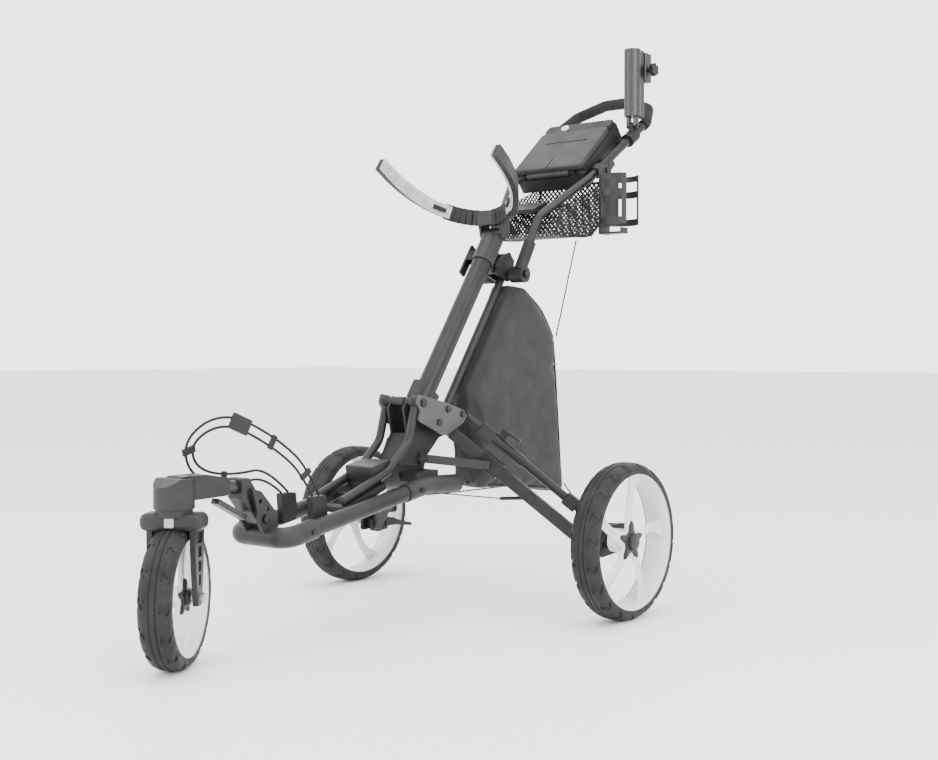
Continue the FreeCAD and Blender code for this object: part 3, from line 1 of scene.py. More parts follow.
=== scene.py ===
import math
import bpy
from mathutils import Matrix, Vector


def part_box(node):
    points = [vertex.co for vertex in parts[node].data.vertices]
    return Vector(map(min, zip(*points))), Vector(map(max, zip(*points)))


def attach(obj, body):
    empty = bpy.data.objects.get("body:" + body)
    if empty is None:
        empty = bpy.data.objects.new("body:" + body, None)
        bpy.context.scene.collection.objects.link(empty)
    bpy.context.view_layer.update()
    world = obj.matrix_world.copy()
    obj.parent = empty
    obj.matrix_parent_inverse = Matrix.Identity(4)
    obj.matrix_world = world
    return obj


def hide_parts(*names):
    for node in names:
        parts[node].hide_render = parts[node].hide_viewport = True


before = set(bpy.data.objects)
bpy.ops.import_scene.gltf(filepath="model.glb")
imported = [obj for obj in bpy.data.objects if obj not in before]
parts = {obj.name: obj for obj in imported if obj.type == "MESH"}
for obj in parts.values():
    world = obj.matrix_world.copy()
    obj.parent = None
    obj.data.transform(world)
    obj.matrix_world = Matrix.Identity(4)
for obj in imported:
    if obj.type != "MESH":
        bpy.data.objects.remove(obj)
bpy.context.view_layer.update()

MM = 0.001


# ---------------------------------------------------------------- camera
# A long lens stands ahead of the cart on its left, at the height of the folding joint, and looks a
# little down.
CAMERA_PLACE = (1.6157, -1.8955, 0.4953)
CAMERA_TURN = 38.5
CAMERA_DIP = 1.205
CAMERA_LENS = 49.89
CAMERA_SENSOR = 36.0
bpy.ops.object.camera_add(
    location=CAMERA_PLACE,
    rotation=(math.radians(90.0 - CAMERA_DIP), 0.0, math.radians(CAMERA_TURN)))
camera = bpy.context.object
camera.data.lens = CAMERA_LENS
camera.data.sensor_width = CAMERA_SENSOR
bpy.context.scene.camera = camera


# ---------------------------------------------------------------- floor and light
# A white studio: a pale floor without an end, white air all round, and three large soft lamps.
bpy.ops.mesh.primitive_plane_add(size=60.0, location=(0, 0, 0))
floor = bpy.context.object
floor.name = "floor"
floor_paint = bpy.data.materials.new("studio_floor")
floor_paint.use_nodes = True
floor_skin = floor_paint.node_tree.nodes["Principled BSDF"]
floor_skin.inputs["Base Color"].default_value = (0.97, 0.97, 0.97, 1)
floor_skin.inputs["Roughness"].default_value = 0.55
floor.data.materials.append(floor_paint)

AIR_LIGHT = 2.4
AIR_SEEN = 3.4
studio_air = bpy.data.worlds.new("studio_air")
studio_air.use_nodes = True
studio_air.node_tree.nodes["Background"].inputs["Color"].default_value = (1, 1, 1, 1)
air_nodes, air_links = studio_air.node_tree.nodes, studio_air.node_tree.links
air_ray = air_nodes.new("ShaderNodeLightPath")
air_level = air_nodes.new("ShaderNodeMapRange")
air_level.inputs["To Min"].default_value = AIR_LIGHT
air_level.inputs["To Max"].default_value = AIR_SEEN
air_links.new(air_ray.outputs["Is Camera Ray"], air_level.inputs["Value"])
air_links.new(air_level.outputs["Result"], air_nodes["Background"].inputs["Strength"])
bpy.context.scene.world = studio_air

LAMPS = (
    ("lamp_over", (0.3, -0.4, 3.2), 2.6, 60.0),
    ("lamp_left", (3.0, -0.6, 1.9), 1.6, 55.0),
    ("lamp_front", (-1.9, -2.8, 1.6), 1.4, 34.0),
)
LAMP_AIM = Vector((0, 0, 0.5))
for lamp_name, lamp_place, lamp_size, lamp_power in LAMPS:
    bpy.ops.object.light_add(type="AREA", location=lamp_place)
    lamp = bpy.context.object
    lamp.name = lamp_name
    lamp.data.size = lamp_size
    lamp.data.energy = lamp_power
    toward = LAMP_AIM - Vector(lamp_place)
    lamp.rotation_euler = toward.to_track_quat("-Z", "Y").to_euler()


# ---------------------------------------------------------------- painted tubes
# Round and flat aluminium tubes of the frame, post, legs and handle, in a satin charcoal powder coat
# that is a little uneven and has faint scuffs along the tube.
def bare_finish(name, roughness, metallic=0.0):
    """A material with one shader whose roughness and metal are set on its own sockets."""
    finish = bpy.data.materials.new(name)
    finish.use_nodes = True
    skin = finish.node_tree.nodes["Principled BSDF"]
    skin.inputs["Roughness"].default_value = roughness
    skin.inputs["Metallic"].default_value = metallic
    skin.inputs["Specular IOR Level"].default_value = 0.25
    return finish, finish.node_tree.nodes, finish.node_tree.links, skin


def object_place(nodes, links, stretch=(1, 1, 1), turn=(0, 0, 0)):
    """The surface's own place on the object, stretched and turned for a pattern."""
    place = nodes.new("ShaderNodeTexCoord")
    mapping = nodes.new("ShaderNodeMapping")
    mapping.inputs["Scale"].default_value = stretch
    mapping.inputs["Rotation"].default_value = turn
    links.new(place.outputs["Object"], mapping.inputs["Vector"])
    return mapping.outputs["Vector"]


def cloud(nodes, links, place, scale, detail=4.0):
    """Soft three-dimensional noise."""
    noise = nodes.new("ShaderNodeTexNoise")
    noise.inputs["Scale"].default_value = scale
    noise.inputs["Detail"].default_value = detail
    links.new(place, noise.inputs["Vector"])
    return noise.outputs["Fac"]


def tone(nodes, links, value, dark, light, low=0.35, high=0.65):
    """Two close colours of one finish, mixed by a pattern."""
    ramp = nodes.new("ShaderNodeValToRGB")
    ramp.color_ramp.elements[0].position = low
    ramp.color_ramp.elements[1].position = high
    ramp.color_ramp.elements[0].color = (*dark, 1)
    ramp.color_ramp.elements[1].color = (*light, 1)
    links.new(value, ramp.inputs["Fac"])
    return ramp.outputs["Color"]


def spread(nodes, links, value, low, high):
    """A pattern brought into a range, for roughness."""
    scaled = nodes.new("ShaderNodeMapRange")
    scaled.inputs["From Min"].default_value = 0.3
    scaled.inputs["From Max"].default_value = 0.7
    scaled.inputs["To Min"].default_value = low
    scaled.inputs["To Max"].default_value = high
    links.new(value, scaled.inputs["Value"])
    return scaled.outputs["Result"]


def relief(nodes, links, skin, height, strength, distance):
    """Fine surface relief."""
    bump = nodes.new("ShaderNodeBump")
    bump.inputs["Strength"].default_value = strength
    bump.inputs["Distance"].default_value = distance
    links.new(height, bump.inputs["Height"])
    links.new(bump.outputs["Normal"], skin.inputs["Normal"])
    return bump


def powder_coat(name, dark, light, roughness):
    finish, nodes, links, skin = bare_finish(name, roughness)
    place = object_place(nodes, links)
    links.new(tone(nodes, links, cloud(nodes, links, place, 9.0), dark, light), skin.inputs["Base Color"])
    scuffs = cloud(nodes, links, object_place(nodes, links, (1.0, 0.25, 0.35), (0.6, 0, 0)), 120.0)
    links.new(spread(nodes, links, scuffs, roughness - 0.07, roughness + 0.1), skin.inputs["Roughness"])
    relief(nodes, links, skin, cloud(nodes, links, place, 900.0, 2.0), 0.12, 0.0003)
    skin.inputs["Metallic"].default_value = 0.15
    skin.inputs["Coat Weight"].default_value = 0.05
    skin.inputs["Coat Roughness"].default_value = 0.25
    return finish


def finish_nodes(finish, *names):
    """Gives the finish to the CAD nodes of those names."""
    for name in names:
        own = parts[name]
        if not own.data.materials:
            own.data.materials.append(finish)
        for slot in own.material_slots:
            slot.material = finish


charcoal_coat = powder_coat("charcoal_coat", (0.012, 0.0124, 0.0135), (0.022, 0.0225, 0.024), 0.36)
finish_nodes(charcoal_coat, "frame_rails", "arch_tubes", "main_post", "handle_tube", "rear_tube",
             "leg_bar_left", "leg_bar_right", "leg_tube_left", "leg_tube_right")


# ---------------------------------------------------------------- plates and struts
# Stamped steel side plates in a lighter grey coat. The flat struts of the legs have the tubes' coat.
grey_coat = powder_coat("grey_coat", (0.045, 0.046, 0.048), (0.07, 0.071, 0.074), 0.4)
finish_nodes(grey_coat, "side_plates")
finish_nodes(charcoal_coat, "leg_strut_left", "leg_strut_right")


# ---------------------------------------------------------------- moulded plastic
# Glass-filled nylon mouldings: sockets, crosspiece, saddle, clamps, fork and steering head. The surface
# has a fine spark-eroded grain, slightly shinier where hands and bags rub it.
def moulding(name, dark, light, roughness, grain):
    finish, nodes, links, skin = bare_finish(name, roughness)
    place = object_place(nodes, links)
    links.new(tone(nodes, links, cloud(nodes, links, place, 14.0), dark, light), skin.inputs["Base Color"])
    links.new(spread(nodes, links, cloud(nodes, links, place, 26.0), roughness - 0.08, roughness + 0.1),
              skin.inputs["Roughness"])
    relief(nodes, links, skin, cloud(nodes, links, place, grain, 3.0), 0.22, 0.0004)
    return finish


black_moulding = moulding("black_moulding", (0.008, 0.0082, 0.009), (0.015, 0.0154, 0.0165), 0.46, 1400.0)
grey_moulding = moulding("grey_moulding", (0.017, 0.0174, 0.0188), (0.029, 0.0295, 0.0315), 0.42, 1100.0)
finish_nodes(black_moulding, "arch_saddle", "frame_bracket", "handle_sockets", "console_body", "cross_tray",
             "accessory_clamps", "brake_housing", "brake_pedal", "umbrella_knob", "leg_paddle_left",
             "leg_paddle_right", "wheel_bracket_left", "wheel_bracket_right", "post_lever", "strap_fittings",
             "leg_sleeve_left", "leg_sleeve_right", "arch_crossbar", "head_bracket")
finish_nodes(grey_moulding, "front_crosspiece", "rail_sockets", "steering_head", "front_fork", "neck_knee",
             "post_collar", "cradle_arms", "cradle_block", "bottle_cage", "console_lid")


# ---------------------------------------------------------------- bright and plated metal
# The anodised neck links and umbrella tube, the zinc-plated front axle, and screws and pins in black zinc,
# all with a fine turned or drawn grain.
def drawn_metal(name, dark, light, roughness, stretch):
    finish, nodes, links, skin = bare_finish(name, roughness, 1.0)
    lines = cloud(nodes, links, object_place(nodes, links, stretch), 300.0, 2.0)
    links.new(tone(nodes, links, lines, dark, light), skin.inputs["Base Color"])
    links.new(spread(nodes, links, lines, roughness - 0.06, roughness + 0.1), skin.inputs["Roughness"])
    relief(nodes, links, skin, lines, 0.08, 0.0002)
    return finish


anodised = drawn_metal("anodised_tube", (0.05, 0.051, 0.053), (0.08, 0.081, 0.084), 0.38, (6.0, 6.0, 0.3))
zinc_plate = drawn_metal("zinc_plate", (0.42, 0.43, 0.44), (0.56, 0.57, 0.58), 0.3, (1, 1, 1))
black_zinc = drawn_metal("black_zinc", (0.03, 0.03, 0.032), (0.06, 0.06, 0.063), 0.35, (1, 1, 1))
finish_nodes(anodised, "umbrella_holder", "neck_links")
finish_nodes(zinc_plate, "front_axle")
finish_nodes(black_zinc, "frame_fasteners", "head_pins")


# ---------------------------------------------------------------- tyres
# Airless rubber tyres, pressed over the rims. Two fine grooves run round the middle of the tread, and
# S-shaped cuts cross each shoulder down to the side wall.
BEAD_IN = 5.0 * MM
TREAD_DROP = 13.0 * MM
GROOVE_OUT = 5.6 * MM
GROOVE_IN = 4.2 * MM
GROOVE_DEPTH = 1.8 * MM
SHOULDER_STEPS = 7
LUG_PITCH = 46.0 * MM
LUG_FACES = 8
CUT_DEPTH = 2.2 * MM


def outline_ring(name, outline):
    """A closed outline in the plane through the axle, made from a circle with as many corners."""
    bpy.ops.object.select_all(action="DESELECT")
    bpy.ops.mesh.primitive_circle_add(vertices=len(outline), radius=0.1)
    ring = bpy.context.object
    ring.name = name
    for corner, (across, out) in zip(ring.data.vertices, outline):
        corner.co = (across, 0.0, out)
    return ring


def spin_round_axle(piece, steps):
    """Turns the outline once about the X axis and closes it."""
    bpy.ops.object.mode_set(mode="EDIT")
    bpy.ops.mesh.select_all(action="SELECT")
    bpy.ops.mesh.spin(steps=steps, angle=2 * math.pi, center=(0, 0, 0), axis=(1, 0, 0))
    bpy.ops.mesh.select_all(action="SELECT")
    bpy.ops.mesh.remove_doubles(threshold=1e-6)
    bpy.ops.mesh.normals_make_consistent(inside=False)
    bpy.ops.object.mode_set(mode="OBJECT")


def choose_faces(piece, wanted):
    """Enters edit mode with only the faces selected whose centre and normal pass the test."""
    bpy.ops.object.mode_set(mode="EDIT")
    bpy.ops.mesh.select_mode(type="FACE")
    bpy.ops.mesh.select_all(action="DESELECT")
    bpy.ops.object.mode_set(mode="OBJECT")
    for face in piece.data.polygons:
        face.select = wanted(face.center, face.normal)
    bpy.ops.object.mode_set(mode="EDIT")


def round_off(piece, width, segments=2, angle=40.0):
    """Bevels the sharp edges and shades the rest smooth."""
    softened = piece.modifiers.new("rounded_edges", "BEVEL")
    softened.width = width
    softened.segments = segments
    softened.limit_method = "ANGLE"
    softened.angle_limit = math.radians(angle)
    softened.harden_normals = False
    bpy.context.view_layer.objects.active = piece
    bpy.ops.object.modifier_apply(modifier=softened.name)
    bpy.ops.object.shade_smooth_by_angle(angle=math.radians(angle))


def put_on_axle(piece, hub, axle):
    """Turns the X axis of the piece into the axle, carries it to the hub and applies its place."""
    piece.rotation_mode = "QUATERNION"
    piece.rotation_quaternion = Vector((1, 0, 0)).rotation_difference(axle)
    piece.location = hub
    bpy.ops.object.select_all(action="DESELECT")
    piece.select_set(True)
    bpy.context.view_layer.objects.active = piece
    bpy.ops.object.transform_apply(location=True, rotation=True, scale=True)


def tyre_outline(outer, seat, half):
    bead = half - BEAD_IN
    flange = seat + 3.0 * MM
    side = [(bead, seat), (bead, flange), (half - 1.2 * MM, flange + 1.5 * MM),
            (half, outer - 1.6 * TREAD_DROP)]
    start = GROOVE_OUT + 1.0 * MM
    for step in range(SHOULDER_STEPS, -1, -1):
        turn = math.pi / 2 * step / SHOULDER_STEPS
        across = start + (half - start) * math.sin(turn)
        side.append((across, outer - TREAD_DROP + TREAD_DROP * math.cos(turn)))
    groove = outer - GROOVE_DEPTH
    side += [(GROOVE_OUT, groove), (GROOVE_IN, groove), (GROOVE_IN - 0.6 * MM, outer)]
    return side + [(-across, out) for across, out in reversed(side)]


def make_tyre(name, outer, seat, half):
    lugs = round(2 * math.pi * outer / LUG_PITCH)
    pitch = 2 * math.pi / lugs
    tyre = outline_ring(name, tyre_outline(outer, seat, half))
    spin_round_axle(tyre, lugs * LUG_FACES)

    def in_cut(centre, normal):
        out = math.hypot(centre.y, centre.z)
        share = (math.atan2(centre.y, centre.z) / pitch + 0.001) % 1.0
        on_left = centre.x > 0
        share = share if on_left else (share + 0.5) % 1.0
        return out > outer - 1.05 * TREAD_DROP and abs(centre.x) > 0.42 * half and share < 2.0 / LUG_FACES

    choose_faces(tyre, in_cut)
    bpy.ops.mesh.inset(thickness=0.8 * MM)
    bpy.ops.transform.shrink_fatten(value=-CUT_DEPTH)
    bpy.ops.object.mode_set(mode="OBJECT")
    for corner in tyre.data.vertices:
        across = (abs(corner.co.x) - 0.35 * half) / (0.65 * half)
        if across > 0:
            swing = pitch * (0.16 * math.sin(2 * math.pi * across) + 0.3 * across)
            swing = swing if corner.co.x > 0 else -swing
            y, z = corner.co.y, corner.co.z
            corner.co.y = y * math.cos(swing) + z * math.sin(swing)
            corner.co.z = z * math.cos(swing) - y * math.sin(swing)
    round_off(tyre, 0.5 * MM, 2, 34.0)
    return tyre


def tread_rubber():
    finish, nodes, links, skin = bare_finish("tread_rubber", 0.62)
    place = object_place(nodes, links)
    wear = cloud(nodes, links, place, 22.0)
    links.new(tone(nodes, links, wear, (0.009, 0.009, 0.0095), (0.018, 0.018, 0.019)),
              skin.inputs["Base Color"])
    links.new(spread(nodes, links, cloud(nodes, links, place, 60.0), 0.48, 0.72), skin.inputs["Roughness"])
    relief(nodes, links, skin, cloud(nodes, links, place, 700.0, 5.0), 0.3, 0.0005)
    return finish


rubber = tread_rubber()
FORK_TURN = math.radians(32.8)
FRONT_AXLE = Vector((math.cos(FORK_TURN), math.sin(FORK_TURN), 0))
REAR_SIZE = (146.0 * MM, 128.0 * MM, 28.0 * MM)
FRONT_SIZE = (113.0 * MM, 98.0 * MM, 26.0 * MM)
WHEELS = (
    ("rear_left", "rear_tyre_left", "rear_rim_left", "rear_wheel_left", *REAR_SIZE, Vector((1, 0, 0))),
    ("rear_right", "rear_tyre_right", "rear_rim_right", "rear_wheel_right", *REAR_SIZE, Vector((-1, 0, 0))),
    ("front", "front_tyre", "front_rim", "front_wheel", *FRONT_SIZE, FRONT_AXLE),
)


def node_middle(name):
    low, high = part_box(name)
    return (low + high) / 2


for wheel, tyre_node, rim_node, body, outer, seat, half, axle in WHEELS:
    tyre = make_tyre("tread_" + wheel, outer, seat, half)
    put_on_axle(tyre, node_middle(tyre_node), axle)
    tyre.data.materials.append(rubber)
    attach(tyre, body)
    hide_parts(tyre_node)


# ---------------------------------------------------------------- rims
# One-piece silver-white nylon rims: a deep barrel with a rolled lip, a hub, and five blades that sweep
# round as they go out, each with a channel down its face.
BLADES = 5
BLADE_SWEEP = 0.22
BLADE_ROOT = 4.0 * MM
BLADE_WALL = 5.0 * MM
CHANNEL_FROM, CHANNEL_TO = 0.22, 0.94
CHANNEL_HALF = 3.3 * MM
CHANNEL_DEPTH = 3.2 * MM
HUB_SHARE = 0.15
FACE_SHARE = 0.5


def rim_outline(seat, half):
    bead = half - BEAD_IN
    flange = seat + 2.6 * MM
    inner = seat - 5.0 * MM
    side = [(bead - 0.2 * MM, seat - 0.2 * MM), (bead + 0.3 * MM, flange - 0.4 * MM),
            (bead + 2.4 * MM, flange), (bead + 3.6 * MM, flange - 1.8 * MM),
            (bead + 2.6 * MM, inner + 1.4 * MM), (bead - 1.0 * MM, inner - 0.4 * MM),
            (bead * 0.5, inner - 2.4 * MM)]
    return side + [(-across, out) for across, out in reversed(side)]


def make_blade(hub_r, reach, face_x):
    """One blade of the rim, straight up from the hub, with its channel pressed in."""
    bpy.ops.object.select_all(action="DESELECT")
    bpy.ops.mesh.primitive_grid_add(x_subdivisions=8, y_subdivisions=14, size=2.0)
    blade = bpy.context.object
    for corner in blade.data.vertices:
        across, along = corner.co.x, (corner.co.y + 1.0) / 2.0
        out = hub_r - BLADE_ROOT + along * (reach - hub_r + BLADE_ROOT)
        wide = (8.0 + 9.0 * (1.0 - along) ** 4 + 11.0 * along ** 5) * MM
        turn = BLADE_SWEEP * (along ** 1.6) + across * wide / out
        depth = face_x - 2.5 * MM * along - 3.0 * MM * across ** 4
        corner.co = (depth, out * math.sin(turn), out * math.cos(turn))

    def on_channel(centre, normal):
        out = math.hypot(centre.y, centre.z)
        along = (out - hub_r) / (reach - hub_r)
        middle = BLADE_SWEEP * max(along, 0.0) ** 1.6
        off = abs(math.atan2(centre.y, centre.z) - middle) * out
        return CHANNEL_FROM < along < CHANNEL_TO and off < CHANNEL_HALF

    choose_faces(blade, on_channel)
    bpy.ops.mesh.inset(thickness=0.7 * MM)
    bpy.ops.transform.translate(value=(-CHANNEL_DEPTH, 0, 0))
    bpy.ops.mesh.select_all(action="SELECT")
    bpy.ops.mesh.normals_make_consistent(inside=False)
    bpy.ops.object.mode_set(mode="OBJECT")
    wall = blade.modifiers.new("wall", "SOLIDIFY")
    wall.thickness = BLADE_WALL
    wall.offset = -1.0
    wall.use_even_offset = False
    bpy.ops.object.modifier_apply(modifier=wall.name)
    return blade


def make_rim(name, outer, seat, half):
    hub_r = outer * HUB_SHARE
    reach = seat - 6.0 * MM
    face_x = half * FACE_SHARE
    rim = outline_ring(name, rim_outline(seat, half))
    spin_round_axle(rim, 96)
    bpy.ops.object.select_all(action="DESELECT")
    bpy.ops.mesh.primitive_cylinder_add(
        vertices=48, radius=hub_r, depth=face_x + half - BEAD_IN,
        location=((face_x - half + BEAD_IN) / 2, 0, 0), rotation=(0, math.pi / 2, 0))
    hub = bpy.context.object
    blade = make_blade(hub_r, reach, face_x)
    group = [rim, hub]
    for number in range(BLADES):
        bpy.ops.object.select_all(action="DESELECT")
        blade.select_set(True)
        bpy.context.view_layer.objects.active = blade
        bpy.ops.object.duplicate()
        copy = bpy.context.object
        copy.rotation_euler = (2 * math.pi * number / BLADES, 0, 0)
        bpy.ops.object.transform_apply(rotation=True)
        group.append(copy)
    bpy.data.objects.remove(blade)
    bpy.ops.object.select_all(action="DESELECT")
    for piece in group:
        piece.select_set(True)
    bpy.context.view_layer.objects.active = hub
    bpy.ops.object.transform_apply(location=True, rotation=True, scale=True)
    bpy.context.view_layer.objects.active = rim
    bpy.ops.object.join()
    round_off(rim, 0.8 * MM, 2, 38.0)
    return rim


silver_nylon = moulding("silver_nylon", (0.66, 0.67, 0.68), (0.74, 0.75, 0.76), 0.34, 900.0)
for wheel, tyre_node, rim_node, body, outer, seat, half, axle in WHEELS:
    rim = make_rim("rim_" + wheel, outer, seat, half)
    put_on_axle(rim, node_middle(tyre_node), axle)
    rim.data.materials.append(silver_nylon)
    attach(rim, body)
    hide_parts(rim_node)


# ---------------------------------------------------------------- hub caps
# Dark five-pointed caps that clip over the hubs, one point on each blade, with a round button in the middle
# that covers the axle's end.
CAP_POINTS = BLADES
CAP_TIP = 0.265
CAP_WAIST = 0.135
CAP_LEAD = 0.03
BUTTON_SHARE = 0.105


def make_cap(name, outer, half):
    tip = outer * CAP_TIP
    waist = outer * CAP_WAIST
    face_x = half * FACE_SHARE
    bpy.ops.object.select_all(action="DESELECT")
    bpy.ops.mesh.primitive_circle_add(vertices=8 * CAP_POINTS, radius=tip, fill_type="NGON")
    cap = bpy.context.object
    cap.name = name
    for corner in cap.data.vertices:
        turn = math.atan2(corner.co.x, corner.co.y)
        near = 0.5 + 0.5 * math.cos(CAP_POINTS * turn)
        reach = waist + (tip - waist) * near ** 2.6
        turn += CAP_LEAD
        corner.co = (face_x - 1.0 * MM, reach * math.sin(turn), reach * math.cos(turn))
    bpy.ops.object.mode_set(mode="EDIT")
    bpy.ops.mesh.select_all(action="SELECT")
    bpy.ops.mesh.normals_make_consistent(inside=False)
    bpy.ops.mesh.extrude_region_move(TRANSFORM_OT_translate={"value": (4.5 * MM, 0, 0)})
    bpy.ops.mesh.inset(thickness=2.0 * MM, depth=0.0)
    bpy.ops.transform.translate(value=(1.5 * MM, 0, 0))
    bpy.ops.mesh.select_all(action="SELECT")
    bpy.ops.mesh.normals_make_consistent(inside=False)
    bpy.ops.object.mode_set(mode="OBJECT")
    button_r = outer * BUTTON_SHARE
    button = outline_ring(name + "_button", [
        (face_x + 3.0 * MM, 0.0), (half - 0.6 * MM, 0.0), (half - 0.6 * MM, 0.42 * button_r),
        (half - 1.6 * MM, 0.5 * button_r), (half - 1.6 * MM, 0.82 * button_r),
        (half - 3.0 * MM, button_r), (face_x + 3.0 * MM, button_r)])
    spin_round_axle(button, 40)
    bpy.ops.object.select_all(action="DESELECT")
    button.select_set(True)
    cap.select_set(True)
    bpy.context.view_layer.objects.active = cap
    bpy.ops.object.join()
    round_off(cap, 0.6 * MM, 2, 36.0)
    return cap


for wheel, tyre_node, rim_node, body, outer, seat, half, axle in WHEELS:
    cap = make_cap("hub_cap_" + wheel, outer, half)
    put_on_axle(cap, node_middle(tyre_node), axle)
    cap.data.materials.append(grey_moulding)
    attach(cap, body)


# ---------------------------------------------------------------- handle grip and lid button
# The handle bow is sleeved in closed-cell foam with a fine open skin, and the lid has a round white
# release button.
def foam_skin():
    finish, nodes, links, skin = bare_finish("grip_foam", 0.85)
    place = object_place(nodes, links)
    pores = nodes.new("ShaderNodeTexVoronoi")
    pores.inputs["Scale"].default_value = 620.0
    links.new(place, pores.inputs["Vector"])
    fading = cloud(nodes, links, place, 40.0)
    links.new(tone(nodes, links, fading, (0.010, 0.010, 0.011), (0.02, 0.02, 0.021)),
              skin.inputs["Base Color"])
    links.new(spread(nodes, links, cloud(nodes, links, place, 60.0), 0.78, 0.92), skin.inputs["Roughness"])
    relief(nodes, links, skin, pores.outputs["Distance"], 0.45, 0.0006)
    return finish


finish_nodes(foam_skin(), "handle_grip")
finish_nodes(moulding("white_moulding", (0.62, 0.625, 0.63), (0.74, 0.745, 0.75), 0.4, 900.0), "lid_button")


# ---------------------------------------------------------------- cradle pads
# A pale rubber pad is pressed on to each arm of the bag cradle, with ribs across it that grip the bag.
AXLE_BACK = 0.166496
ARM_START = (24.0, 27.9, 769.3)
ARM_TIP = (147.0, -134.0, 872.0)
PAD_FROM = 0.25
PAD_ROWS = 54
PAD_HALF = 12.6
PAD_OUT = 9.0
PAD_WALL = 4.6
RIB_RISE = 1.6
RIB_AT = 0.6


def at_cart(across, along, up):
    """A point given in millimetres from the ground below the rear axle."""
    return Vector((across * MM, along * MM + AXLE_BACK, up * MM))


def arm_point(share):
    x = ARM_START[0] + (ARM_TIP[0] - ARM_START[0]) * math.sin(share * math.pi / 2) ** 0.9
    y = ARM_START[1] + (ARM_TIP[1] - ARM_START[1]) * (0.35 * share + 0.65 * share ** 2)
    z = ARM_START[2] + (ARM_TIP[2] - ARM_START[2]) * (0.25 * share + 0.75 * share ** 2)
    return Vector((x, y, z))


def pad_rubber():
    finish, nodes, links, skin = bare_finish("pad_rubber", 0.5)
    place = object_place(nodes, links)
    links.new(tone(nodes, links, cloud(nodes, links, place, 60.0), (0.36, 0.365, 0.37), (0.47, 0.475, 0.48)),
              skin.inputs["Base Color"])
    links.new(spread(nodes, links, cloud(nodes, links, place, 120.0), 0.42, 0.6), skin.inputs["Roughness"])
    relief(nodes, links, skin, cloud(nodes, links, place, 900.0), 0.2, 0.0003)
    return finish


def make_pad(name, sign):
    bpy.ops.object.select_all(action="DESELECT")
    bpy.ops.mesh.primitive_grid_add(x_subdivisions=4, y_subdivisions=PAD_ROWS, size=2.0)
    pad = bpy.context.object
    pad.name = name
    rows = {}
    for face in pad.data.polygons:
        rows[face.index] = int((face.center.y + 1.0) / 2.0 * PAD_ROWS)
    middle = {face.index: abs(face.center.x) < 0.6 for face in pad.data.polygons}
    for corner in pad.data.vertices:
        across, share = corner.co.x, PAD_FROM + (1.0 - PAD_FROM) * (corner.co.y + 1.0) / 2.0
        ahead = (arm_point(share + 0.01) - arm_point(share - 0.01)).normalized()
        out = ahead.cross(Vector((0, 0, 1))).normalized()
        rise = out.cross(ahead).normalized()
        place = arm_point(share) + out * PAD_OUT + rise * across * PAD_HALF
        corner.co = at_cart(sign * place.x, place.y, place.z)
    bpy.ops.object.mode_set(mode="EDIT")
    bpy.ops.mesh.select_mode(type="FACE")
    bpy.ops.mesh.select_all(action="DESELECT")
    bpy.ops.object.mode_set(mode="OBJECT")
    for face in pad.data.polygons:
        face.select = rows[face.index] % 3 == 1 and middle[face.index]
    bpy.ops.object.mode_set(mode="EDIT")
    bpy.ops.mesh.extrude_region_move()
    lean = arm_point(RIB_AT + 0.02) - arm_point(RIB_AT)
    inward = lean.cross(Vector((0, 0, 1))).normalized()
    bpy.ops.transform.translate(value=(sign * inward.x * RIB_RISE * MM, inward.y * RIB_RISE * MM, 0))
    bpy.ops.mesh.select_all(action="SELECT")
    bpy.ops.mesh.normals_make_consistent(inside=False)
    bpy.ops.object.mode_set(mode="OBJECT")
    wall = pad.modifiers.new("wall", "SOLIDIFY")
    wall.thickness = PAD_WALL * MM
    wall.offset = 0.0
    bpy.ops.object.modifier_apply(modifier=wall.name)
    round_off(pad, 0.3 * MM, 1, 50.0)
    return pad


pale_rubber = pad_rubber()
for label, sign in (("left", 1), ("right", -1)):
    pad = make_pad("arm_pad_" + label, sign)
    pad.data.materials.append(pale_rubber)
    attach(pad, "cradle")
    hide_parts("cradle_pads")


# ---------------------------------------------------------------- cradle arm trim
# Each arm has a thick moulded root, a buckle block with a release tongue where the strap of the bag is
# held, and a rounded tip that the pad wraps over.
# Half sizes are along the arm, out towards the bag and up, in millimetres.
ROOT_SHARES = (0.0, 0.06, 0.12, 0.18, 0.24)
ROOT_HALF = (6.5, 9.0, 16.0)
BUCKLE_AT = 0.27
BUCKLE_HALF = (11.0, 10.0, 15.5)
TONGUE_AT = BUCKLE_AT + 0.1
TONGUE_HALF = (14.0, 2.6, 4.5)
TONGUE_OUT = 13.6
TIP_AT = 0.985
TIP_HALF = (5.0, 5.6, 13.0)
TIP_OUT = 1.5


def arm_ways(share):
    """The way along the arm, out towards the bag, and up across its band."""
    ahead = (arm_point(share + 0.01) - arm_point(max(share - 0.01, 0.0))).normalized()
    out = ahead.cross(Vector((0, 0, 1))).normalized()
    return ahead, out, out.cross(ahead).normalized()


def arm_block(name, share, half, out_by, sign, bevel):
    """A rounded block set square to the arm at that share of its length."""
    bpy.ops.object.select_all(action="DESELECT")
    bpy.ops.mesh.primitive_cube_add(size=2.0)
    block = bpy.context.object
    block.name = name
    block.scale = [part * MM for part in half]
    bpy.ops.object.transform_apply(scale=True)
    shape = block.modifiers.new("round", "BEVEL")
    shape.width = bevel * MM
    shape.segments = 3
    bpy.ops.object.modifier_apply(modifier=shape.name)
    ahead, out, rise = arm_ways(share)
    middle = arm_point(share) + out * out_by
    for corner in block.data.vertices:
        spot = middle + (ahead * corner.co.x + out * corner.co.y + rise * corner.co.z) / MM
        corner.co = at_cart(sign * spot.x, spot.y, spot.z)
    bpy.ops.object.mode_set(mode="EDIT")
    bpy.ops.mesh.select_all(action="SELECT")
    bpy.ops.mesh.normals_make_consistent(inside=False)
    bpy.ops.object.mode_set(mode="OBJECT")
    bpy.ops.object.shade_smooth_by_angle(angle=math.radians(40.0))
    return block


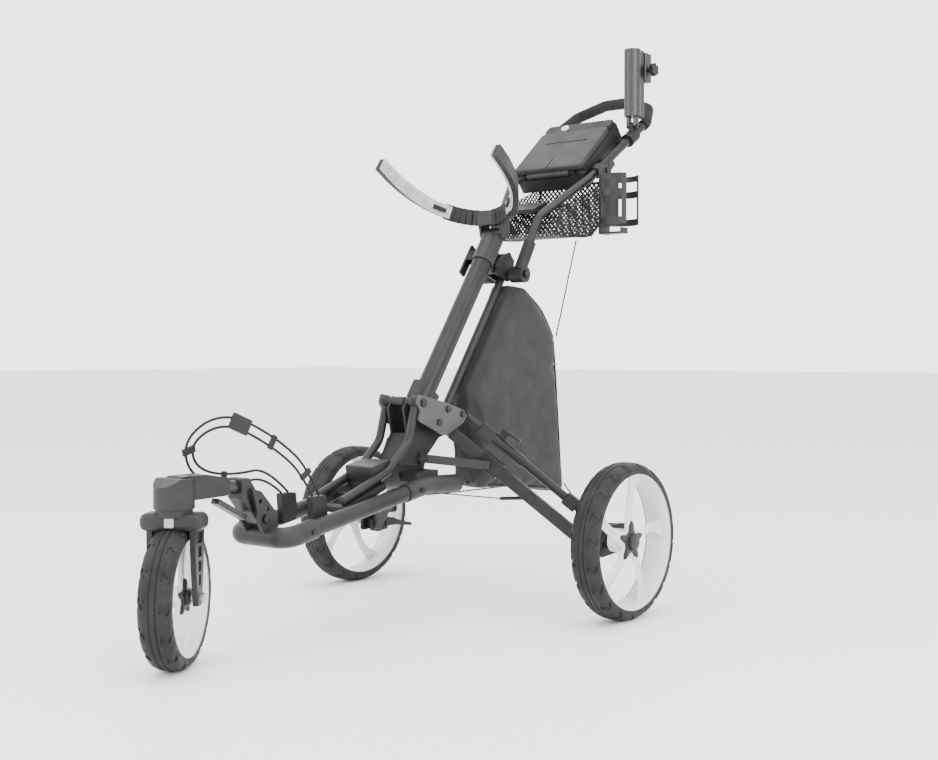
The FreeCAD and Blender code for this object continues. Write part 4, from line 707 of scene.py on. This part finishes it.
for label, sign in (("left", 1), ("right", -1)):
    trims = [arm_block(f"arm_root_{label}_{number}", share, ROOT_HALF, 0.0, sign, 2.0)
             for number, share in enumerate(ROOT_SHARES)]
    trims.append(arm_block("arm_buckle_" + label, BUCKLE_AT, BUCKLE_HALF, 0.0, sign, 2.5))
    trims.append(arm_block("arm_tongue_" + label, TONGUE_AT, TONGUE_HALF, TONGUE_OUT, sign, 1.2))
    trims.append(arm_block("arm_tip_" + label, TIP_AT, TIP_HALF, TIP_OUT, sign, 4.0))
    for trim in trims:
        trim.data.materials.append(black_moulding)
        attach(trim, "cradle")


# ---------------------------------------------------------------- fork crown
# A rounded nylon hood covers the top of the fork, with a small square white badge, without any mark, let
# into its front.
CROWN_PLACE = (0.0, -768.0, 233.0)
CROWN_HALF = (50.0, 25.0, 14.0)
CROWN_ROUND = 11.0 * MM
BADGE_HALF = (7.5, 1.2, 7.5)
BADGE_ROUND = 1.0 * MM
BADGE_AHEAD = 25.6


def turned_block(name, half, place, ahead, bevel, segments):
    """A block turned with the fork, pushed ahead along the way the wheel points, with rounded edges."""
    bpy.ops.object.select_all(action="DESELECT")
    bpy.ops.mesh.primitive_cube_add(size=2.0)
    block = bpy.context.object
    block.name = name
    block.scale = [part * MM for part in half]
    bpy.ops.object.transform_apply(scale=True)
    shape = block.modifiers.new("round", "BEVEL")
    shape.width = bevel
    shape.segments = segments
    bpy.ops.object.modifier_apply(modifier=shape.name)
    block.rotation_euler = (0, 0, FORK_TURN)
    block.location = at_cart(*place) + Vector((math.sin(FORK_TURN), -math.cos(FORK_TURN), 0)) * ahead * MM
    bpy.ops.object.transform_apply(location=True, rotation=True, scale=True)
    bpy.ops.object.shade_smooth_by_angle(angle=math.radians(40.0))
    return block


hood = turned_block("fork_hood", CROWN_HALF, CROWN_PLACE, 0.0, CROWN_ROUND, 6)
hood.data.materials.append(grey_moulding)
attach(hood, "fork")
badge = turned_block("fork_badge", BADGE_HALF, CROWN_PLACE, BADGE_AHEAD, BADGE_ROUND, 3)
badge.data.materials.append(pale_rubber)
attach(badge, "fork")


# ---------------------------------------------------------------- net basket under the console
# A pocket of knotted black net, sewn to a bound edge and hung below the console between the handle tubes.
# Its cut is one long strip for the front, floor and back, with a panel at each side.
NET_HALF = 86.0
NET_PROFILE = ((176, 800), (152, 758), (150, 743), (164, 738), (222, 739), (284, 744), (328, 790),
               (338, 866))
NET_CELL = 8.0 * MM
NET_CORD = 0.27


def net_cloth():
    finish, nodes, links, skin = bare_finish("net_cloth", 0.7)
    own = nodes.new("ShaderNodeUVMap")
    own.uv_map = "weave"
    mapping = nodes.new("ShaderNodeMapping")
    mapping.inputs["Rotation"].default_value = (0, 0, math.radians(45.0))
    mapping.inputs["Scale"].default_value = (1 / NET_CELL, 1 / NET_CELL, 1.0)
    links.new(own.outputs["UV"], mapping.inputs["Vector"])
    cells = nodes.new("ShaderNodeTexVoronoi")
    cells.voronoi_dimensions = "2D"
    cells.feature = "DISTANCE_TO_EDGE"
    cells.inputs["Scale"].default_value = 1.0
    cells.inputs["Randomness"].default_value = 0.0
    links.new(mapping.outputs["Vector"], cells.inputs["Vector"])
    solid = nodes.new("ShaderNodeMath")
    solid.operation = "LESS_THAN"
    solid.inputs[1].default_value = NET_CORD
    links.new(cells.outputs["Distance"], solid.inputs[0])
    links.new(solid.outputs["Value"], skin.inputs["Alpha"])
    place = object_place(nodes, links)
    dust = cloud(nodes, links, place, 80.0)
    links.new(tone(nodes, links, dust, (0.008, 0.008, 0.009), (0.02, 0.02, 0.021)),
              skin.inputs["Base Color"])
    relief(nodes, links, skin, cells.outputs["Distance"], 0.4, 0.0006)
    return finish


def net_strip(name):
    """The front, floor and back of the pocket in one strip, with the weave running along it."""
    bpy.ops.object.select_all(action="DESELECT")
    rows = len(NET_PROFILE) - 1
    bpy.ops.mesh.primitive_grid_add(x_subdivisions=10, y_subdivisions=rows, size=2.0)
    strip = bpy.context.object
    strip.name = name
    run = [0.0]
    for before, after in zip(NET_PROFILE, NET_PROFILE[1:]):
        run.append(run[-1] + math.dist(before, after) * MM)
    weave = strip.data.uv_layers[0]
    weave.name = "weave"
    spots = [(corner.co.x, round((corner.co.y + 1.0) / 2.0 * rows)) for corner in strip.data.vertices]
    for loop in strip.data.loops:
        across, row = spots[loop.vertex_index]
        weave.data[loop.index].uv = (across * NET_HALF * MM, run[row])
    for corner, (across, row) in zip(strip.data.vertices, spots):
        along, up = NET_PROFILE[row]
        corner.co = at_cart(across * NET_HALF, along, up)
    return strip


def net_side(name, sign):
    """A side panel with the outline of the strip's profile."""
    bpy.ops.object.select_all(action="DESELECT")
    bpy.ops.mesh.primitive_circle_add(vertices=len(NET_PROFILE), radius=0.1, fill_type="NGON", calc_uvs=True)
    side = bpy.context.object
    side.name = name
    for corner, (along, up) in zip(side.data.vertices, NET_PROFILE):
        corner.co = at_cart(sign * NET_HALF, along, up)
    weave = side.data.uv_layers[0]
    weave.name = "weave"
    for loop in side.data.loops:
        place = side.data.vertices[loop.vertex_index].co
        weave.data[loop.index].uv = (place.y, place.z)
    return side


bpy.ops.object.select_all(action="DESELECT")
net_panels = [net_strip("net_basket"), net_side("net_left", 1), net_side("net_right", -1)]
bpy.ops.object.select_all(action="DESELECT")
for panel in net_panels:
    panel.select_set(True)
bpy.context.view_layer.objects.active = net_panels[0]
bpy.ops.object.join()
net = bpy.context.object
bpy.ops.object.mode_set(mode="EDIT")
bpy.ops.mesh.select_all(action="SELECT")
bpy.ops.mesh.remove_doubles(threshold=1e-5)
bpy.ops.mesh.normals_make_consistent(inside=False)
bpy.ops.object.mode_set(mode="OBJECT")
net.data.materials.append(net_cloth())
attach(net, "handle")
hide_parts("mesh_basket")


def cord_line(name, points, radius):
    """A smooth cord whose control points are the route's own."""
    line = bpy.data.curves.new(name, "CURVE")
    line.dimensions = "3D"
    spline = line.splines.new("NURBS")
    spline.points.add(len(points) - 1)
    for knot, point in zip(spline.points, points):
        knot.co = (*point, 1.0)
    spline.order_u = 3
    spline.use_endpoint_u = True
    spline.resolution_u = 10
    line.bevel_depth = radius
    line.bevel_resolution = 3
    line.use_fill_caps = True
    cord = bpy.data.objects.new(name, line)
    bpy.context.scene.collection.objects.link(cord)
    return cord


def braid(name, dark, light):
    """Woven cord or webbing: fine diagonal strands."""
    finish, nodes, links, skin = bare_finish(name, 0.75)
    strands = nodes.new("ShaderNodeTexWave")
    strands.bands_direction = "DIAGONAL"
    strands.inputs["Scale"].default_value = 260.0
    strands.inputs["Distortion"].default_value = 1.5
    place = object_place(nodes, links)
    links.new(place, strands.inputs["Vector"])
    links.new(tone(nodes, links, strands.outputs["Fac"], dark, light, 0.2, 0.8), skin.inputs["Base Color"])
    links.new(spread(nodes, links, cloud(nodes, links, place, 90.0), 0.65, 0.85), skin.inputs["Roughness"])
    relief(nodes, links, skin, strands.outputs["Fac"], 0.5, 0.0006)
    return finish


binding_web = braid("binding_web", (0.008, 0.008, 0.0085), (0.018, 0.018, 0.019))
BINDING_R = 2.2 * MM
net_edges = []
for sign in (-1, 1):
    rail = cord_line("net_edge_" + ("left" if sign > 0 else "right"),
                     [at_cart(sign * NET_HALF, along, up) for along, up in NET_PROFILE], BINDING_R)
    net_edges.append(rail)
for edge_name, (along, up) in (("net_edge_front", NET_PROFILE[0]), ("net_edge_back", NET_PROFILE[-1])):
    line = [at_cart(across, along, up) for across in (-NET_HALF, 0, NET_HALF)]
    net_edges.append(cord_line(edge_name, line, BINDING_R))
for edge in net_edges:
    bpy.ops.object.select_all(action="DESELECT")
    edge.select_set(True)
    bpy.context.view_layer.objects.active = edge
    bpy.ops.object.convert(target="MESH")
    edge = bpy.context.object
    edge.data.materials.append(binding_web)
    bpy.ops.object.shade_smooth()
    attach(edge, "handle")


# ---------------------------------------------------------------- storage bag behind the post
# A flat pouch of black polyester with a woven grain, a piped edge and a metal-ringed hole at its upper
# corner. It hangs on the rear tube, with one elastic cord up to the basket and two down to the legs.
BAG_VOXEL = 5.0 * MM
BAG_SLIM = 0.8
BAG_PROUD = 3.0 * MM
BAG_PRESSURE = 4.0
BAG_CAP = 9.0 * MM
BAG_FRAMES = 20


def bag_cloth():
    finish, nodes, links, skin = bare_finish("bag_cloth", 0.72)
    place = object_place(nodes, links)
    weave = nodes.new("ShaderNodeTexVoronoi")
    weave.inputs["Scale"].default_value = 900.0
    weave.inputs["Randomness"].default_value = 0.25
    links.new(place, weave.inputs["Vector"])
    fading = cloud(nodes, links, place, 8.0)
    links.new(tone(nodes, links, fading, (0.017, 0.0175, 0.019), (0.022, 0.0225, 0.0245)),
              skin.inputs["Base Color"])
    links.new(spread(nodes, links, cloud(nodes, links, place, 30.0), 0.6, 0.8), skin.inputs["Roughness"])
    skin.inputs["Sheen Weight"].default_value = 0.04
    relief(nodes, links, skin, weave.outputs["Distance"], 0.5, 0.0005)
    return finish


def copy_of(node, name):
    """The CAD node's mesh as a new object, its loose triangles merged."""
    bpy.ops.object.select_all(action="DESELECT")
    copy = bpy.data.objects.new(name, parts[node].data.copy())
    bpy.context.scene.collection.objects.link(copy)
    copy.select_set(True)
    bpy.context.view_layer.objects.active = copy
    bpy.ops.object.mode_set(mode="EDIT")
    bpy.ops.mesh.select_all(action="SELECT")
    bpy.ops.mesh.remove_doubles(threshold=1e-5)
    bpy.ops.object.mode_set(mode="OBJECT")
    copy.data.materials.clear()
    return copy


bag = copy_of("storage_bag", "storage_pouch")
slimmer = bag.modifiers.new("remesh", "REMESH")
slimmer.mode = "VOXEL"
slimmer.voxel_size = BAG_VOXEL
bpy.ops.object.modifier_apply(modifier=slimmer.name)
bpy.ops.object.mode_set(mode="EDIT")
bpy.ops.mesh.select_all(action="SELECT")
bpy.ops.mesh.vertices_smooth(factor=0.5, repeat=4)
bpy.ops.object.mode_set(mode="OBJECT")
for corner in bag.data.vertices:
    corner.co.x *= BAG_SLIM
before = [corner.co.copy() for corner in bag.data.vertices]
puff = bag.modifiers.new("cloth", "CLOTH")
puff.settings.use_pressure = True
puff.settings.uniform_pressure_force = BAG_PRESSURE
puff.settings.effector_weights.gravity = 0.0
puff.point_cache.frame_end = BAG_FRAMES
for step in range(1, BAG_FRAMES + 1):
    bpy.context.scene.frame_set(step)
bpy.context.view_layer.objects.active = bag
bpy.ops.object.modifier_apply(modifier=puff.name)
for corner, start in zip(bag.data.vertices, before):
    moved = corner.co - start
    if moved.length > BAG_CAP:
        corner.co = start + moved.normalized() * BAG_CAP
bpy.context.scene.frame_set(1)
for axis in (1, 2):
    low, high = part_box("storage_bag")
    spread_now = [corner.co[axis] for corner in bag.data.vertices]
    scale = (high[axis] - low[axis] + 2 * BAG_PROUD) / (max(spread_now) - min(spread_now))
    for corner in bag.data.vertices:
        corner.co[axis] = low[axis] - BAG_PROUD + (corner.co[axis] - min(spread_now)) * scale
softer = bag.modifiers.new("softer", "SUBSURF")
softer.levels = 1
softer.render_levels = 1
bpy.ops.object.modifier_apply(modifier=softer.name)
bpy.ops.object.shade_smooth()
bag.data.materials.append(bag_cloth())
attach(bag, "rear_link")
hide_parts("storage_bag")

PIPING_R = 2.0 * MM
PIPING = ((121, 626), (150, 608), (181, 587), (202, 563), (220, 538), (227, 524), (233, 470), (247, 330),
          (257, 218), (252, 208), (242, 205), (120, 218), (-18, 232), (-34, 240))
BAG_SIDE = 25.0
EYELET = (216.0, 520.0)
EYELET_OUT = 4.0
EYELET_R = 5.0 * MM
EYELET_WIRE_R = 1.4 * MM
for label, sign in (("left", 1), ("right", -1)):
    seam = [at_cart(sign * BAG_SIDE, along, up) for along, up in PIPING]
    piping = cord_line("pouch_piping_" + label, seam, PIPING_R)
    bpy.ops.object.select_all(action="DESELECT")
    piping.select_set(True)
    bpy.context.view_layer.objects.active = piping
    bpy.ops.object.convert(target="MESH")
    piping = bpy.context.object
    piping.data.materials.append(binding_web)
    bpy.ops.object.shade_smooth()
    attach(piping, "rear_link")
    bpy.ops.object.select_all(action="DESELECT")
    bpy.ops.mesh.primitive_torus_add(location=at_cart(sign * (BAG_SIDE + EYELET_OUT), *EYELET),
                                     rotation=(0, math.pi / 2, 0), major_radius=EYELET_R,
                                     minor_radius=EYELET_WIRE_R, major_segments=32, minor_segments=10)
    eyelet = bpy.context.object
    eyelet.name = "pouch_eyelet_" + label
    bpy.ops.object.transform_apply(location=True, rotation=True, scale=True)
    bpy.ops.object.shade_smooth()
    eyelet.data.materials.append(zinc_plate)
    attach(eyelet, "rear_link")


# ---------------------------------------------------------------- cords
# Round elastic cords: two strands side by side make the bag strap that loops over the front, one holds the
# pouch up, two spread its lower corners to the legs, and a wire brake cable crosses between the legs.
cord_braid = braid("cord_braid", (0.008, 0.008, 0.0085), (0.025, 0.025, 0.026))
STRAND_OFF = 8.0
STRAP_R = 2.2
CORD_R = 1.5
CABLE_R = 1.2
STRAP_ROUTE = ((38, -498, 253), (41, -530, 300), (38, -574, 336), (29, -622, 366), (12, -660, 386),
               (-8, -694, 380), (-24, -721, 350), (-31, -709, 312), (-36, -668, 290), (-39, -602, 284),
               (-41, -540, 291), (-38, -498, 253))
BAG_CORD = ((36, 222, 530), (60, 262, 735))
CORNER_CORD = ((36.5, 252, 214), (120, 160, 196), (236, 66, 184))


def lay_cord(name, route, radius, body, node):
    cord = cord_line(name, [at_cart(*point) for point in route], radius * MM)
    cord.data.materials.append(cord_braid)
    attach(cord, body)
    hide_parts(node)
    return cord


strap_points = [Vector(point) for point in STRAP_ROUTE]
strap_across = [Vector((0, 1, 0))]
for before_point, after_point in zip(strap_points, strap_points[2:]):
    strap_across.append((after_point - before_point).cross(Vector((1, 0, 0))).normalized())
strap_across.append(Vector((0, -1, 0)))
for label, sign in (("outer", -1), ("inner", 1)):
    strand = [point + across * (sign * STRAND_OFF) for point, across in zip(strap_points, strap_across)]
    lay_cord("strap_strand_" + label, strand, STRAP_R, "chassis", "strap_cords")
lay_cord("pouch_cord", BAG_CORD, CORD_R, "rear_link", "bag_cords")
for label, sign in (("left", 1), ("right", -1)):
    lay_cord("corner_cord_" + label, [(sign * across, along, up) for across, along, up in CORNER_CORD],
             CORD_R, "rear_link", "bag_cords")
cable_low, cable_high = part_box("brake_cable")
cable_y = (cable_low.y + cable_high.y) / 2 / MM - AXLE_BACK / MM
cable_z = (cable_low.z + cable_high.z) / 2 / MM
lay_cord("brake_wire", ((cable_low.x / MM, cable_y, cable_z), (cable_high.x / MM, cable_y, cable_z)),
         CABLE_R, "chassis", "brake_cable")
